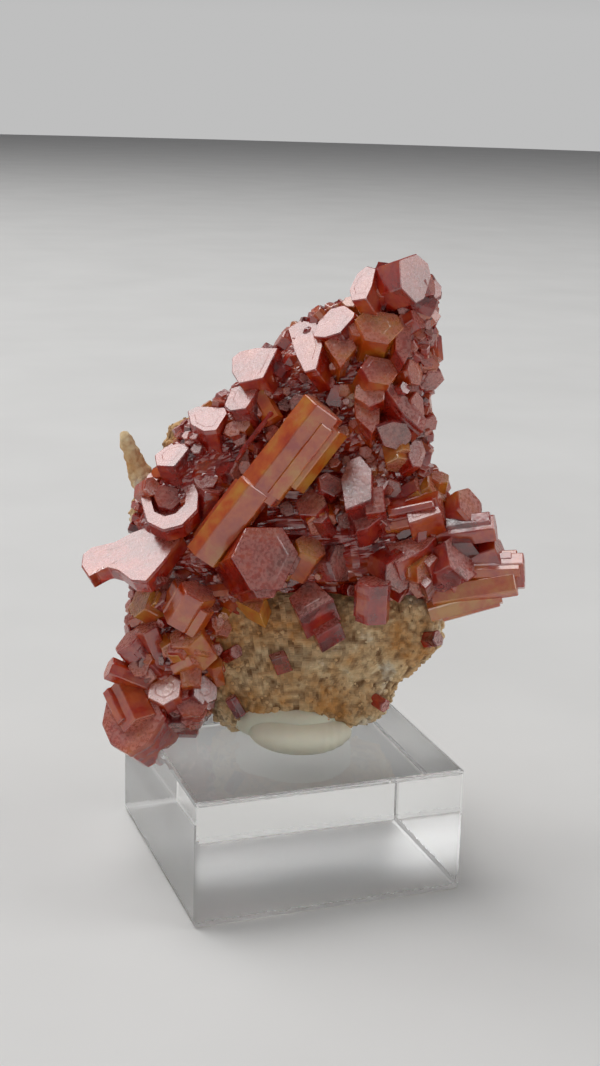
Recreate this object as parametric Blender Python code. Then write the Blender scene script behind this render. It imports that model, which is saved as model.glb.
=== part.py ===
"""Vanadinite crystals on their matrix, held by a lump of mineral tack on a clear acrylic block.

The block stands on the ground with its front edge along X, and the origin is at its bottom's centre.
The specimen is laid out in two sets of directions. Its host rock and the bed under the crystals are
lofted from level sections, which are measured across, towards the viewer, and in height above the
block. Each crystal is placed on the specimen's front, which is turned a little to the left and
tipped back: across to the right, up along the front, and out of it.
"""
import math
from collections import namedtuple

import bmesh
import bpy
from mathutils import Matrix, Vector, noise

MM = 0.001

# The acrylic block
BLOCK_WIDTH = 25.0 * MM
BLOCK_DEPTH = 25.0 * MM
BLOCK_HEIGHT = 11.7 * MM
BLOCK_BEVEL = 0.35 * MM
BEVEL_SEGMENTS = 2

# How the specimen's front faces: turned to the left, tipped back and rolled, in degrees
FACE_TURN = 20.2
FACE_TIP = 15.5
FACE_ROLL = 1.65

# Clearance between pieces that touch, and how the rock's surface is roughened
GAP = 0.3 * MM
ROCK_RELIEF = 0.5 * MM
ROCK_GRAIN = 2.2 * MM
RING_POINTS = 24
RING_SQUARENESS = 2.8

# Mineral tack: two flattened lobes, each as across, towards, height, and half sizes, in mm
TACK_LOBES = (
    (0.2, -0.4, 1.9, 5.9, 4.9, 1.75),
    (1.2, 2.4, 1.4, 4.8, 4.4, 1.30),
)
TACK_SEGMENTS = 28
TACK_RINGS = 14

# Level sections in mm: height above the block, left, right, towards at the front, and at the back
ROCK_LEVELS = (
    (0.8, -6.2, 3.6, 1.6, -3.6),
    (1.9, -7.0, 8.4, 3.0, -4.8),
    (3.6, -7.6, 9.8, 2.9, -5.2),
    (5.4, -8.6, 10.4, 2.6, -5.4),
    (6.6, -9.6, 11.8, 2.4, -5.6),
    (8.8, -11.4, 14.0, 2.0, -5.9),
    (12.5, -12.6, 14.5, 1.2, -6.3),
    (15.0, -13.6, 14.2, -0.6, -6.6),
    (18.0, -15.0, 13.8, -1.8, -7.0),
    (21.0, -15.0, 12.6, -2.4, -7.4),
    (24.0, -12.8, 11.2, -3.0, -7.7),
    (27.5, -11.6, 10.4, -3.6, -8.1),
    (29.4, -9.2, 10.6, -3.9, -8.3),
    (31.0, -5.6, 10.4, -4.2, -8.4),
    (33.6, -5.1, 10.4, -4.6, -8.6),
    (35.0, -2.6, 10.4, -4.8, -8.7),
    (36.8, -1.8, 10.6, -5.1, -8.9),
    (38.0, 1.6, 10.8, -5.3, -9.0),
    (39.6, 5.0, 11.0, -5.6, -9.1),
    (41.4, 6.4, 11.2, -6.0, -9.0),
    (42.8, 7.8, 10.8, -6.5, -8.6),
)
UPPER_BED_LEVELS = (
    (14.2, -6.5, 14.0, 1.4, -2.5),
    (16.5, -14.0, 16.0, 2.0, -2.8),
    (20.0, -14.2, 15.4, 1.6, -3.4),
    (23.0, -12.4, 13.0, 0.5, -4.0),
    (26.0, -11.4, 11.6, -0.2, -4.6),
    (29.0, -8.8, 11.4, -0.8, -5.2),
    (31.5, -5.0, 11.4, -1.3, -5.6),
    (34.5, -2.6, 11.4, -1.9, -6.0),
    (37.5, 0.6, 11.4, -2.6, -6.4),
    (40.0, 6.0, 11.6, -3.3, -6.8),
    (41.8, 7.6, 11.4, -3.8, -7.0),
)
FOOT_BED_LEVELS = (
    (1.2, -13.4, -8.6, 3.2, -0.6),
    (3.0, -14.4, -7.8, 3.8, -1.2),
    (6.0, -14.4, -7.2, 3.4, -1.6),
    (9.0, -14.2, -6.8, 2.8, -2.0),
    (12.0, -14.0, -5.8, 2.2, -2.4),
    (15.5, -13.6, -3.0, 1.2, -3.0),
)

# The cream finger at the left edge: root and tip on the specimen's front, and its radii, in mm
FINGER_ROOT = (-12.8, 22.4, 1.8)
FINGER_TIP = (-15.0, 28.0, 3.4)
FINGER_RADIUS = 1.15 * MM
FINGER_POINTS = 10
FINGER_RINGS = 9

# A crystal's head is the middle of its end face, in mm on the specimen's front. Its axis leans that
# many degrees clockwise from up and tilts that many from straight out; spin turns it on its axis.
Crystal = namedtuple("Crystal", "name across up out lean tilt radius length spin wide")

CRUST_CRYSTALS = (
    Crystal("slope tile a", -2.8, 33.7, 7.4, -35, 52, 2.35, 4.6, 12, 1.05),
    Crystal("slope tile b", -3.7, 30.9, 7.5, -33, 57, 2.25, 3.8, 10, 1.05),
    Crystal("slope tile c", -7.0, 29.0, 6.9, -6, 52, 1.95, 3.2, 0, 1.05),
    Crystal("slope tile d", -10.3, 25.9, 6.2, -20, 54, 1.70, 2.4, 10, 1.05),
    Crystal("hollow plate", -10.2, 22.0, 6.4, 75, 38, 3.15, 1.6, 8, 1.00),
    Crystal("hollow filling", -10.7, 21.9, 7.0, 60, 30, 1.55, 2.2, 20, 1.00),
    Crystal("small hexagon", -7.3, 23.6, 6.4, 20, 28, 1.05, 2.4, 0, 1.00),
    Crystal("mauve stub", -6.6, 22.6, 6.7, 8, 72, 1.15, 3.0, 20, 1.00),
    Crystal("pink blade", -12.3, 17.0, 6.9, -22, 44, 3.05, 2.0, 22, 1.22),
    Crystal("blade stalk", -15.7, 16.3, 6.0, -22, 46, 1.55, 1.8, 0, 1.50),
    Crystal("blade knob", -17.7, 16.1, 5.8, -80, 62, 1.35, 3.2, 15, 1.00),
    Crystal("grey plate", -9.2, 17.8, 6.6, 28, 78, 1.25, 4.6, 30, 1.00),
    Crystal("rough pink tile", 1.6, 35.4, 7.7, -62, 48, 2.25, 3.6, 10, 1.10),
    Crystal("round pink tile", 4.2, 37.4, 8.3, -38, 50, 2.05, 3.4, 8, 1.15),
    Crystal("brown cube", 4.8, 35.0, 9.1, 20, 24, 1.65, 3.2, 15, 1.00),
    Crystal("peak hexagon", 11.4, 40.9, 10.1, 86, 47, 2.25, 3.2, 30, 1.00),
    Crystal("peak shoulder", 7.5, 40.3, 9.2, -40, 46, 2.15, 3.4, 12, 1.00),
    Crystal("peak red", 8.8, 40.6, 8.7, 25, 35, 1.75, 4.4, 0, 1.00),
    Crystal("peak bulge", 12.7, 40.8, 8.5, 75, 62, 1.15, 2.2, 0, 1.00),
    Crystal("neck amber", 8.2, 36.8, 9.7, 15, 30, 2.15, 4.4, 25, 1.00),
    Crystal("neck pink prism", 10.3, 38.3, 9.4, 6, 80, 1.25, 5.4, 30, 1.00),
    Crystal("neck mauve", 11.7, 37.7, 8.2, 60, 60, 1.10, 3.0, 0, 1.00),
    Crystal("neck tile", 8.1, 33.0, 9.5, 30, 32, 1.75, 3.4, 5, 1.00),
    Crystal("neck cube", 7.3, 31.1, 9.1, -15, 24, 1.45, 3.2, 20, 1.00),
    Crystal("amber cube", 7.1, 28.8, 9.3, 40, 22, 1.50, 3.0, 35, 1.00),
    Crystal("diagonal prism", 8.3, 31.8, 9.4, -44, 82, 1.45, 5.6, 30, 1.00),
    Crystal("mauve tile", 9.4, 27.1, 8.9, 150, 26, 1.85, 3.4, 10, 1.00),
    Crystal("edge bulge upper", 11.4, 33.0, 7.9, 80, 55, 1.30, 3.4, 10, 1.00),
    Crystal("edge bulge lower", 11.7, 29.8, 7.8, 85, 58, 1.45, 3.2, 30, 1.00),
    Crystal("oval pink plate", 11.6, 25.6, 7.8, 88, 52, 1.50, 2.0, 30, 1.00),
    Crystal("amber wedge", 10.2, 24.7, 7.5, 170, 62, 1.45, 3.6, 0, 1.00),
    Crystal("amber long prism", 3.4, 29.6, 10.0, 38, 80, 2.15, 9.6, 12, 1.05),
    Crystal("orange long prism", -2.6, 22.9, 8.9, 38, 80, 1.75, 8.0, 10, 1.05),
    Crystal("red barrel", -1.6, 16.6, 9.9, 70, 24, 3.25, 5.4, 18, 1.00),
    Crystal("mauve column", 6.2, 25.4, 9.1, 4, 68, 1.50, 5.2, 15, 1.00),
    Crystal("pale cube", 7.7, 21.5, 9.0, -20, 20, 1.35, 3.0, 35, 1.00),
    Crystal("pale lid", 7.1, 19.7, 8.4, 10, 58, 1.45, 2.4, 20, 1.00),
    Crystal("orange prism end", 13.8, 21.1, 8.1, 78, 74, 1.40, 5.2, 30, 1.00),
    Crystal("crimson cluster a", 2.2, 21.4, 8.1, -30, 40, 1.60, 3.2, 10, 1.00),
    Crystal("crimson cluster b", 3.9, 23.1, 7.9, 30, 35, 1.30, 3.2, 25, 1.00),
    Crystal("orange cluster", 3.2, 19.5, 8.0, 160, 45, 1.40, 3.0, 0, 1.00),
    Crystal("wing upper", 16.4, 21.3, 6.7, 60, 50, 1.65, 3.4, 10, 1.00),
    Crystal("wing knob", 13.8, 23.7, 6.4, 10, 50, 0.95, 2.4, 0, 1.00),
    Crystal("wing orange", 13.5, 22.7, 6.5, 60, 60, 1.60, 3.4, 20, 1.00),
    Crystal("wing band", 18.7, 19.2, 6.7, 82, 78, 1.30, 6.6, 0, 1.00),
    Crystal("wing plate", 10.9, 17.1, 7.9, 165, 52, 2.30, 2.6, 10, 1.10),
    Crystal("wing ruby", 15.7, 16.7, 7.1, 60, 48, 2.50, 4.0, 0, 1.00),
    Crystal("wing bundle a", 21.4, 15.4, 5.7, 88, 80, 1.75, 8.2, 10, 1.00),
    Crystal("wing bundle b", 20.6, 14.3, 6.2, 80, 78, 1.35, 7.6, 30, 1.00),
    Crystal("wing bundle c", 19.3, 17.0, 5.7, 70, 70, 1.80, 6.0, 20, 1.00),
    Crystal("wing underside", 19.3, 13.4, 4.9, 74, 82, 1.30, 6.6, 10, 1.00),
    Crystal("wing red low", 10.1, 15.2, 7.5, 120, 40, 1.90, 3.6, 0, 1.00),
    Crystal("wing orange low", 12.6, 15.4, 7.3, 100, 45, 1.55, 3.2, 10, 1.00),
    Crystal("red column", 7.8, 14.5, 8.1, 2, 72, 1.50, 3.7, 15, 1.00),
    Crystal("white faced cube", 12.3, 14.4, 7.8, 0, 25, 0.75, 1.8, 30, 1.00),
    Crystal("dark cluster", 5.0, 16.0, 6.8, 90, 50, 1.90, 3.4, 0, 1.00),
    Crystal("amber foot", 2.3, 17.6, 7.4, 30, 50, 1.60, 3.4, 20, 1.00),
    Crystal("ember cube", -7.7, 13.6, 7.6, 32, 66, 1.75, 3.6, 25, 1.00),
    Crystal("orange group a", -8.9, 9.7, 6.6, -30, 50, 1.80, 3.4, 10, 1.00),
    Crystal("orange group b", -7.6, 8.9, 6.3, 60, 55, 1.50, 3.2, 30, 1.00),
    Crystal("orange group c", -13.2, 12.7, 5.3, -60, 58, 1.60, 4.0, 10, 1.00),
    Crystal("spiky pink a", -14.3, 9.1, 5.3, -42, 66, 1.55, 5.0, 0, 1.00),
    Crystal("spiky pink b", -16.1, 6.5, 5.1, -66, 72, 1.10, 5.2, 20, 1.00),
    Crystal("spiky pink c", -12.7, 10.2, 5.8, -20, 64, 1.20, 4.4, 10, 1.00),
    Crystal("foot crystal", -14.5, 2.3, 5.8, -64, 44, 2.65, 5.0, 5, 1.05),
    Crystal("foot crystal low", -13.0, 1.1, 5.1, 150, 60, 1.95, 4.4, 0, 1.00),
    Crystal("foot orange cube", -8.5, 5.9, 6.4, 10, 34, 1.75, 3.2, 30, 1.00),
    Crystal("foot mauve", -8.6, 3.5, 5.5, 20, 30, 1.50, 3.2, 10, 1.00),
    Crystal("foot dark", -7.4, 4.5, 4.9, 70, 45, 1.60, 3.2, 0, 1.00),
    Crystal("foot edge", -10.0, 1.0, 4.3, 170, 62, 1.20, 3.4, 0, 1.00),
    Crystal("foot upper", -10.9, 4.6, 5.7, -20, 40, 1.70, 3.6, 20, 1.00),
)

# Crystals that stand alone on the bare rock, by the name of their node
LONE_CRYSTALS = {
    "crystal_yellow_top": (Crystal("body", -3.7, 12.4, 5.5, 112, 80, 1.10, 2.7, 0, 1.0),),
    "crystal_pair": (
        Crystal("pale square", 2.3, 12.9, 6.8, -10, 34, 1.90, 3.6, 15, 1.0),
        Crystal("brown side", 4.2, 11.2, 6.0, 53, 82, 1.10, 2.6, 0, 1.0),
    ),
    "crystal_white_top": (Crystal("body", -0.9, 7.3, 5.4, 0, 50, 1.00, 2.0, 30, 1.0),),
    "crystal_left_small": (Crystal("body", -4.5, 8.0, 4.9, 60, 40, 0.75, 2.0, 0, 1.0),),
    "crystal_sunk": (Crystal("body", -5.1, 3.8, 4.3, -30, 75, 0.60, 2.0, 0, 1.0),),
    "crystal_right_edge": (Crystal("body", 13.8, 9.1, 4.0, 80, 45, 0.80, 2.6, 0, 1.0),),
    "crystal_lower_right": (Crystal("body", 9.0, 2.9, 3.9, 120, 45, 0.65, 2.4, 0, 1.0),),
}

# Colours are linear red, green, blue
RED = (0.62, 0.045, 0.012)
PALE_RED = (0.68, 0.20, 0.12)
CREAM = (0.66, 0.50, 0.30)
IVORY = (0.80, 0.78, 0.68)
CLEAR = (0.96, 0.97, 0.96)
VANADINITE_IOR = 2.3
ACRYLIC_IOR = 1.49


def clear_scene():
    """Remove what a new file starts with."""
    for item in list(bpy.data.objects):
        bpy.data.objects.remove(item, do_unlink=True)


def make_material(name, colour, roughness, transmission=0.0, ior=1.5):
    """A Principled material of one colour."""
    material = bpy.data.materials.new(name)
    material.use_nodes = True
    shader = material.node_tree.nodes["Principled BSDF"]
    shader.inputs["Base Color"].default_value = (*colour, 1.0)
    shader.inputs["Roughness"].default_value = roughness
    shader.inputs["Metallic"].default_value = 0.0
    shader.inputs["Transmission Weight"].default_value = transmission
    shader.inputs["IOR"].default_value = ior
    return material


def make_object(name, shape, material=None):
    """An object from a bmesh, whose faces are turned to point out."""
    bmesh.ops.recalc_face_normals(shape, faces=shape.faces)
    mesh = bpy.data.meshes.new(name)
    shape.to_mesh(mesh)
    shape.free()
    item = bpy.data.objects.new(name, mesh)
    bpy.context.scene.collection.objects.link(item)
    if material:
        mesh.materials.append(material)
    return item


def make_guide(name, shape):
    """A body that only cuts or joins others."""
    item = make_object(name, shape)
    item.hide_render = True
    item.display_type = "WIRE"
    return item


def combine(item, operand, operation, overlapping=False):
    """An exact Boolean; overlapping says that the operand's own bodies run into each other."""
    modifier = item.modifiers.new(operand.name, "BOOLEAN")
    modifier.operation = operation
    modifier.solver = "EXACT"
    modifier.object = operand
    modifier.use_self = overlapping


def section_axes():
    """Across and towards the viewer, both level, on the specimen."""
    turn = Matrix.Rotation(math.radians(-FACE_TURN), 3, "Z")
    return turn @ Vector((1, 0, 0)), turn @ Vector((0, -1, 0))


def face_axes():
    """Across, up and out of the specimen's front."""
    turn = Matrix.Rotation(math.radians(-FACE_TURN), 3, "Z")
    tip = Matrix.Rotation(math.radians(-FACE_TIP), 3, "X")
    roll = Matrix.Rotation(math.radians(-FACE_ROLL), 3, "Y")
    facing = turn @ tip @ roll
    return facing @ Vector((1, 0, 0)), facing @ Vector((0, 0, 1)), facing @ Vector((0, -1, 0))


def on_face(across, up, out):
    """A place on the specimen's front, in mm from the middle of the block's top."""
    right, upward, outward = face_axes()
    return Vector((0, 0, BLOCK_HEIGHT)) + (right * across + upward * up + outward * out) * MM


def bridge_rings(shape, rings, first_pole, last_pole):
    """Close a stack of rings into a body, with a point at each end."""
    loops = [[shape.verts.new(point) for point in ring] for ring in rings]
    count = len(loops[0])
    for lower, upper in zip(loops, loops[1:]):
        for i in range(count):
            j = (i + 1) % count
            shape.faces.new((lower[i], lower[j], upper[j], upper[i]))
    for ring, pole in ((loops[0], first_pole), (loops[-1], last_pole)):
        tip = shape.verts.new(pole)
        for i in range(count):
            shape.faces.new((ring[i], ring[(i + 1) % count], tip))


def rounded_ring(left, right, front, back, height, grow):
    """One level section: a rounded rectangle with its corners well eased."""
    across, towards = section_axes()
    middle_across = (left + right) / 2 * MM
    middle_towards = (front + back) / 2 * MM
    half_across = (right - left) / 2 * MM + grow
    half_towards = (front - back) / 2 * MM + grow
    ring = []
    for i in range(RING_POINTS):
        angle = 2 * math.pi * i / RING_POINTS
        c, s = math.cos(angle), math.sin(angle)
        x = middle_across + half_across * math.copysign(abs(c) ** (2 / RING_SQUARENESS), c)
        y = middle_towards + half_towards * math.copysign(abs(s) ** (2 / RING_SQUARENESS), s)
        ring.append(across * x + towards * y + Vector((0, 0, BLOCK_HEIGHT + height)))
    return ring


def loft_levels(shape, levels, grow=0.0, relief=0.0):
    """A body lofted through level sections, grown all round, and dented inwards for relief."""
    rings = []
    for height, left, right, front, back in levels:
        rings.append(rounded_ring(left, right, front, back, height * MM, grow))
    bottom = sum(rings[0], Vector()) / RING_POINTS - Vector((0, 0, grow))
    top = sum(rings[-1], Vector()) / RING_POINTS + Vector((0, 0, grow))
    if relief:
        for ring in rings:
            centre = sum(ring, Vector()) / RING_POINTS
            for i, point in enumerate(ring):
                dent = relief * (0.5 + 0.5 * noise.noise(point / ROCK_GRAIN))
                ring[i] = point - (point - centre).normalized() * dent
    bridge_rings(shape, rings, bottom, top)


def finger_body(shape, grow=0.0):
    """The finger: a rod whose radius swells at the middle and closes round at its tip."""
    root, tip = on_face(*FINGER_ROOT), on_face(*FINGER_TIP)
    along = (tip - root).normalized()
    side = along.orthogonal().normalized()
    other = along.cross(side)
    length = (tip - root).length + grow
    rings = []
    for k in range(FINGER_RINGS):
        t = k / FINGER_RINGS
        radius = (FINGER_RADIUS + grow) * math.sqrt(1 - t ** 4) * (0.88 + 0.12 * math.sin(7 * t))
        centre = root + along * length * t
        angles = [2 * math.pi * i / FINGER_POINTS for i in range(FINGER_POINTS)]
        rings.append([centre + (side * math.cos(a) + other * math.sin(a)) * radius for a in angles])
    bridge_rings(shape, rings, root - along * grow, root + along * length)


def prism(shape, crystal, grow=0.0):
    """A hexagonal prism that runs back from its head, with slightly bevelled ends."""
    right, upward, outward = face_axes()
    lean, tilt = math.radians(crystal.lean), math.radians(crystal.tilt)
    heading = right * math.sin(lean) + upward * math.cos(lean)
    axis = heading * math.sin(tilt) + outward * math.cos(tilt)
    first = heading * math.cos(tilt) - outward * math.sin(tilt)
    second = right * math.cos(lean) - upward * math.sin(lean)
    head = on_face(crystal.across, crystal.up, crystal.out) + axis * grow
    radius, length = crystal.radius * MM + grow, crystal.length * MM + 2 * grow
    chamfer = 0.12 * radius
    rings = []
    for depth, share in ((0, 0.88), (chamfer, 1.0), (length - chamfer, 1.0), (length, 0.88)):
        ring = []
        for k in range(6):
            angle = math.radians(crystal.spin + 60 * k)
            reach = first * math.cos(angle) + second * math.sin(angle) * crystal.wide
            ring.append(head - axis * depth + reach * radius * share)
        rings.append(ring)
    loops = [[shape.verts.new(point) for point in ring] for ring in rings]
    for upper, lower in zip(loops, loops[1:]):
        for k in range(6):
            j = (k + 1) % 6
            shape.faces.new((upper[k], upper[j], lower[j], lower[k]))
    shape.faces.new(loops[0])
    shape.faces.new(reversed(loops[-1]))


def slab(shape, width, depth, low, high):
    """An upright box about the block's own axis, from one height to another."""
    made = bmesh.ops.create_cube(shape, size=1.0)
    for vert in made["verts"]:
        vert.co.x *= width
        vert.co.y *= depth
        vert.co.z = low if vert.co.z < 0 else high


def rock_room(shape):
    """The rock's room: its outline and finger grown by the gap."""
    loft_levels(shape, ROCK_LEVELS, grow=GAP)
    finger_body(shape, grow=GAP)


def make_block():
    """The clear block: a cut and polished slab with its edges just broken."""
    shape = bmesh.new()
    slab(shape, BLOCK_WIDTH, BLOCK_DEPTH, 0.0, BLOCK_HEIGHT)
    material = make_material("clear_acrylic", CLEAR, 0.03, transmission=1.0, ior=ACRYLIC_IOR)
    block = make_object("acrylic_block", shape, material)
    bevel = block.modifiers.new("broken edges", "BEVEL")
    bevel.width = BLOCK_BEVEL
    bevel.segments = BEVEL_SEGMENTS


def make_rock():
    """The host rock: a lump at the foot that thins to a plate behind the crystals."""
    shape = bmesh.new()
    loft_levels(shape, ROCK_LEVELS, relief=ROCK_RELIEF)
    rock = make_object("matrix", shape, make_material("matrix_rock", CREAM, 0.85))
    shape = bmesh.new()
    finger_body(shape)
    combine(rock, make_guide("matrix_finger", shape), "UNION")


def lobe(shape, middle_across, middle_towards, height, half_across, half_towards, half_height):
    """One flattened lump with a full, rounded rim, given in mm."""
    across, towards = section_axes()
    centre = (across * middle_across + towards * middle_towards) * MM
    centre.z = BLOCK_HEIGHT + height * MM
    lift = Vector((0, 0, half_height * MM))
    rings = []
    for k in range(1, TACK_RINGS):
        polar = math.pi * k / TACK_RINGS
        ring = []
        for i in range(TACK_SEGMENTS):
            angle = 2 * math.pi * i / TACK_SEGMENTS
            flat = across * math.cos(angle) * half_across + towards * math.sin(angle) * half_towards
            ring.append(centre + flat * math.sqrt(math.sin(polar)) * MM - lift * math.cos(polar))
        rings.append(ring)
    bridge_rings(shape, rings, centre - lift, centre + lift)


def make_tack():
    """The mineral tack: two lobes pressed together, flat on the block and hollowed by the rock."""
    first, *others = TACK_LOBES
    shape = bmesh.new()
    lobe(shape, *first)
    tack = make_object("mineral_tack", shape, make_material("white_tack", IVORY, 0.7))
    for number, sizes in enumerate(others):
        shape = bmesh.new()
        lobe(shape, *sizes)
        combine(tack, make_guide("tack_lobe_%d" % number, shape), "UNION")
    shape = bmesh.new()
    slab(shape, 2 * BLOCK_WIDTH, 2 * BLOCK_DEPTH, 0.0, BLOCK_HEIGHT + GAP)
    rock_room(shape)
    combine(tack, make_guide("tack_room", shape), "DIFFERENCE", overlapping=True)


def make_crust():
    """The intergrown crystals: their bed and every prism joined, less the room of their neighbours."""
    shape = bmesh.new()
    loft_levels(shape, UPPER_BED_LEVELS)
    material = make_material("vanadinite", RED, 0.12, transmission=0.3, ior=VANADINITE_IOR)
    crust = make_object("crystal_crust", shape, material)
    shape = bmesh.new()
    loft_levels(shape, FOOT_BED_LEVELS)
    for crystal in CRUST_CRYSTALS:
        prism(shape, crystal)
    combine(crust, make_guide("crust_prisms", shape), "UNION", overlapping=True)
    shape = bmesh.new()
    rock_room(shape)
    slab(shape, BLOCK_WIDTH + 2 * GAP, BLOCK_DEPTH + 2 * GAP, -GAP, BLOCK_HEIGHT + GAP)
    for crystals in LONE_CRYSTALS.values():
        for crystal in crystals:
            prism(shape, crystal, grow=GAP)
    combine(crust, make_guide("crust_room", shape), "DIFFERENCE", overlapping=True)


def make_lone_crystals():
    """Each crystal that stands by itself on the bare rock, cut to sit on it."""
    material = make_material("vanadinite_single", PALE_RED, 0.15, transmission=0.2, ior=VANADINITE_IOR)
    shape = bmesh.new()
    rock_room(shape)
    room = make_guide("lone_room", shape)
    for name, crystals in LONE_CRYSTALS.items():
        shape = bmesh.new()
        prism(shape, crystals[0])
        item = make_object(name, shape, material)
        for other in crystals[1:]:
            shape = bmesh.new()
            prism(shape, other)
            combine(item, make_guide(name + "_" + other.name.replace(" ", "_"), shape), "UNION")
        combine(item, room, "DIFFERENCE", overlapping=True)


def main():
    clear_scene()
    make_block()
    make_rock()
    make_tack()
    make_crust()
    make_lone_crystals()


main()
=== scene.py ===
"""Vanadinite crystals on their matrix, held by mineral tack on a clear acrylic block.

Every new piece is a closed surface worked out with numpy: rings carried along a path, with a point at
each end. Crystals are placed on the specimen's front, which is turned to the left and tipped back:
across to the right, up along the front, and out of it, in mm from the middle of the block's top.
"""
import math
from collections import namedtuple

import bpy
import numpy as np
from mathutils import Matrix, Vector


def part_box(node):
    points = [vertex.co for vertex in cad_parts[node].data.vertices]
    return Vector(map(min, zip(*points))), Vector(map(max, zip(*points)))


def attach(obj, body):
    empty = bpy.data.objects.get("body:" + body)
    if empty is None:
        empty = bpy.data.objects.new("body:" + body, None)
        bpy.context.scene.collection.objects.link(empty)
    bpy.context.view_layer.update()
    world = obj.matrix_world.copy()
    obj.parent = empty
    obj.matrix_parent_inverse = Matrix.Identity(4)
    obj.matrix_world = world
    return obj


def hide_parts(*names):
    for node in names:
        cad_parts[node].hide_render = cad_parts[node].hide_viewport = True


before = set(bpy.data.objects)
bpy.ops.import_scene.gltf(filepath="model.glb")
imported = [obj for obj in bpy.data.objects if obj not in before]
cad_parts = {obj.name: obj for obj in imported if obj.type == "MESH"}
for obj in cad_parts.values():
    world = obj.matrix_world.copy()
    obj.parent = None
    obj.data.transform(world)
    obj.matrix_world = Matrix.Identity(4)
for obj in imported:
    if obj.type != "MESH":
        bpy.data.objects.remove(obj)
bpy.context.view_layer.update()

bl_info = {
    "name": "Vanadinite Specimen",
    "version": (1, 0, 0),
    "blender": (4, 5, 0),
    "location": "View3D > Sidebar > Specimen",
    "description": "Builds a vanadinite specimen with its matrix, mineral tack and acrylic block",
    "category": "Add Mesh",
}

MM = 0.001
BLOCK_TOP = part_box("acrylic_block")[1].z

# How the specimen's front faces, in degrees
FACE_TURN = 20.2
FACE_TIP = 15.5
FACE_ROLL = 1.65

# The camera, in mm and degrees, and the metres between which it sees
CAMERA_PLACE = (-47.90, -132.02, 70.06)
CAMERA_YAW = 20.22
CAMERA_PITCH = 15.49
CAMERA_ROLL = 1.65
CAMERA_LENS = 54.53
CAMERA_CLIP = (0.005, 6.0)

# Points round each surface, and rows along it
RING_COLUMNS = 36
ROCK_COLUMNS = 300
ROCK_ROWS = 230
BED_COLUMNS = 150
FINGER_COLUMNS = 48
FINGER_ROWS = 60
TACK_COLUMNS = 140
TACK_ROWS = 70
GRAIN_COLUMNS = 6
DRUSE_COLUMNS = 6
FLOOR_COLUMNS = 64

# Seeds of what is left to chance
CRYSTAL_SEED = 100
PLATE_SEED = 300
HOLLOW_PLATE_SEED = 399
NEIGHBOUR_SEED = 500
NEIGHBOUR_SEED_STEP = 7
GRAIN_SEED = 11
DRUSE_SEED = 77
TACK_SEED = 40

# Across, up and out place the middle of a crystal's end face on the specimen's front, in mm. Its axis
# heads lean degrees clockwise from up, and tilt degrees away from straight out. Tone runs from 0, deep
# red, to 1, amber. A plate is a crystal whose end face has an outline of its own. Names are for the reader.
Crystal = namedtuple("Crystal", "name across up out lean tilt radius length spin tone wide", defaults=(1.0,))
Plate = namedtuple("Plate", "name across up out lean tilt length tone corners")

# A layer of noise has cells of a size in mm, and noise at its level counts as flat
Layer = namedtuple("Layer", "cell level seed")

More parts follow.
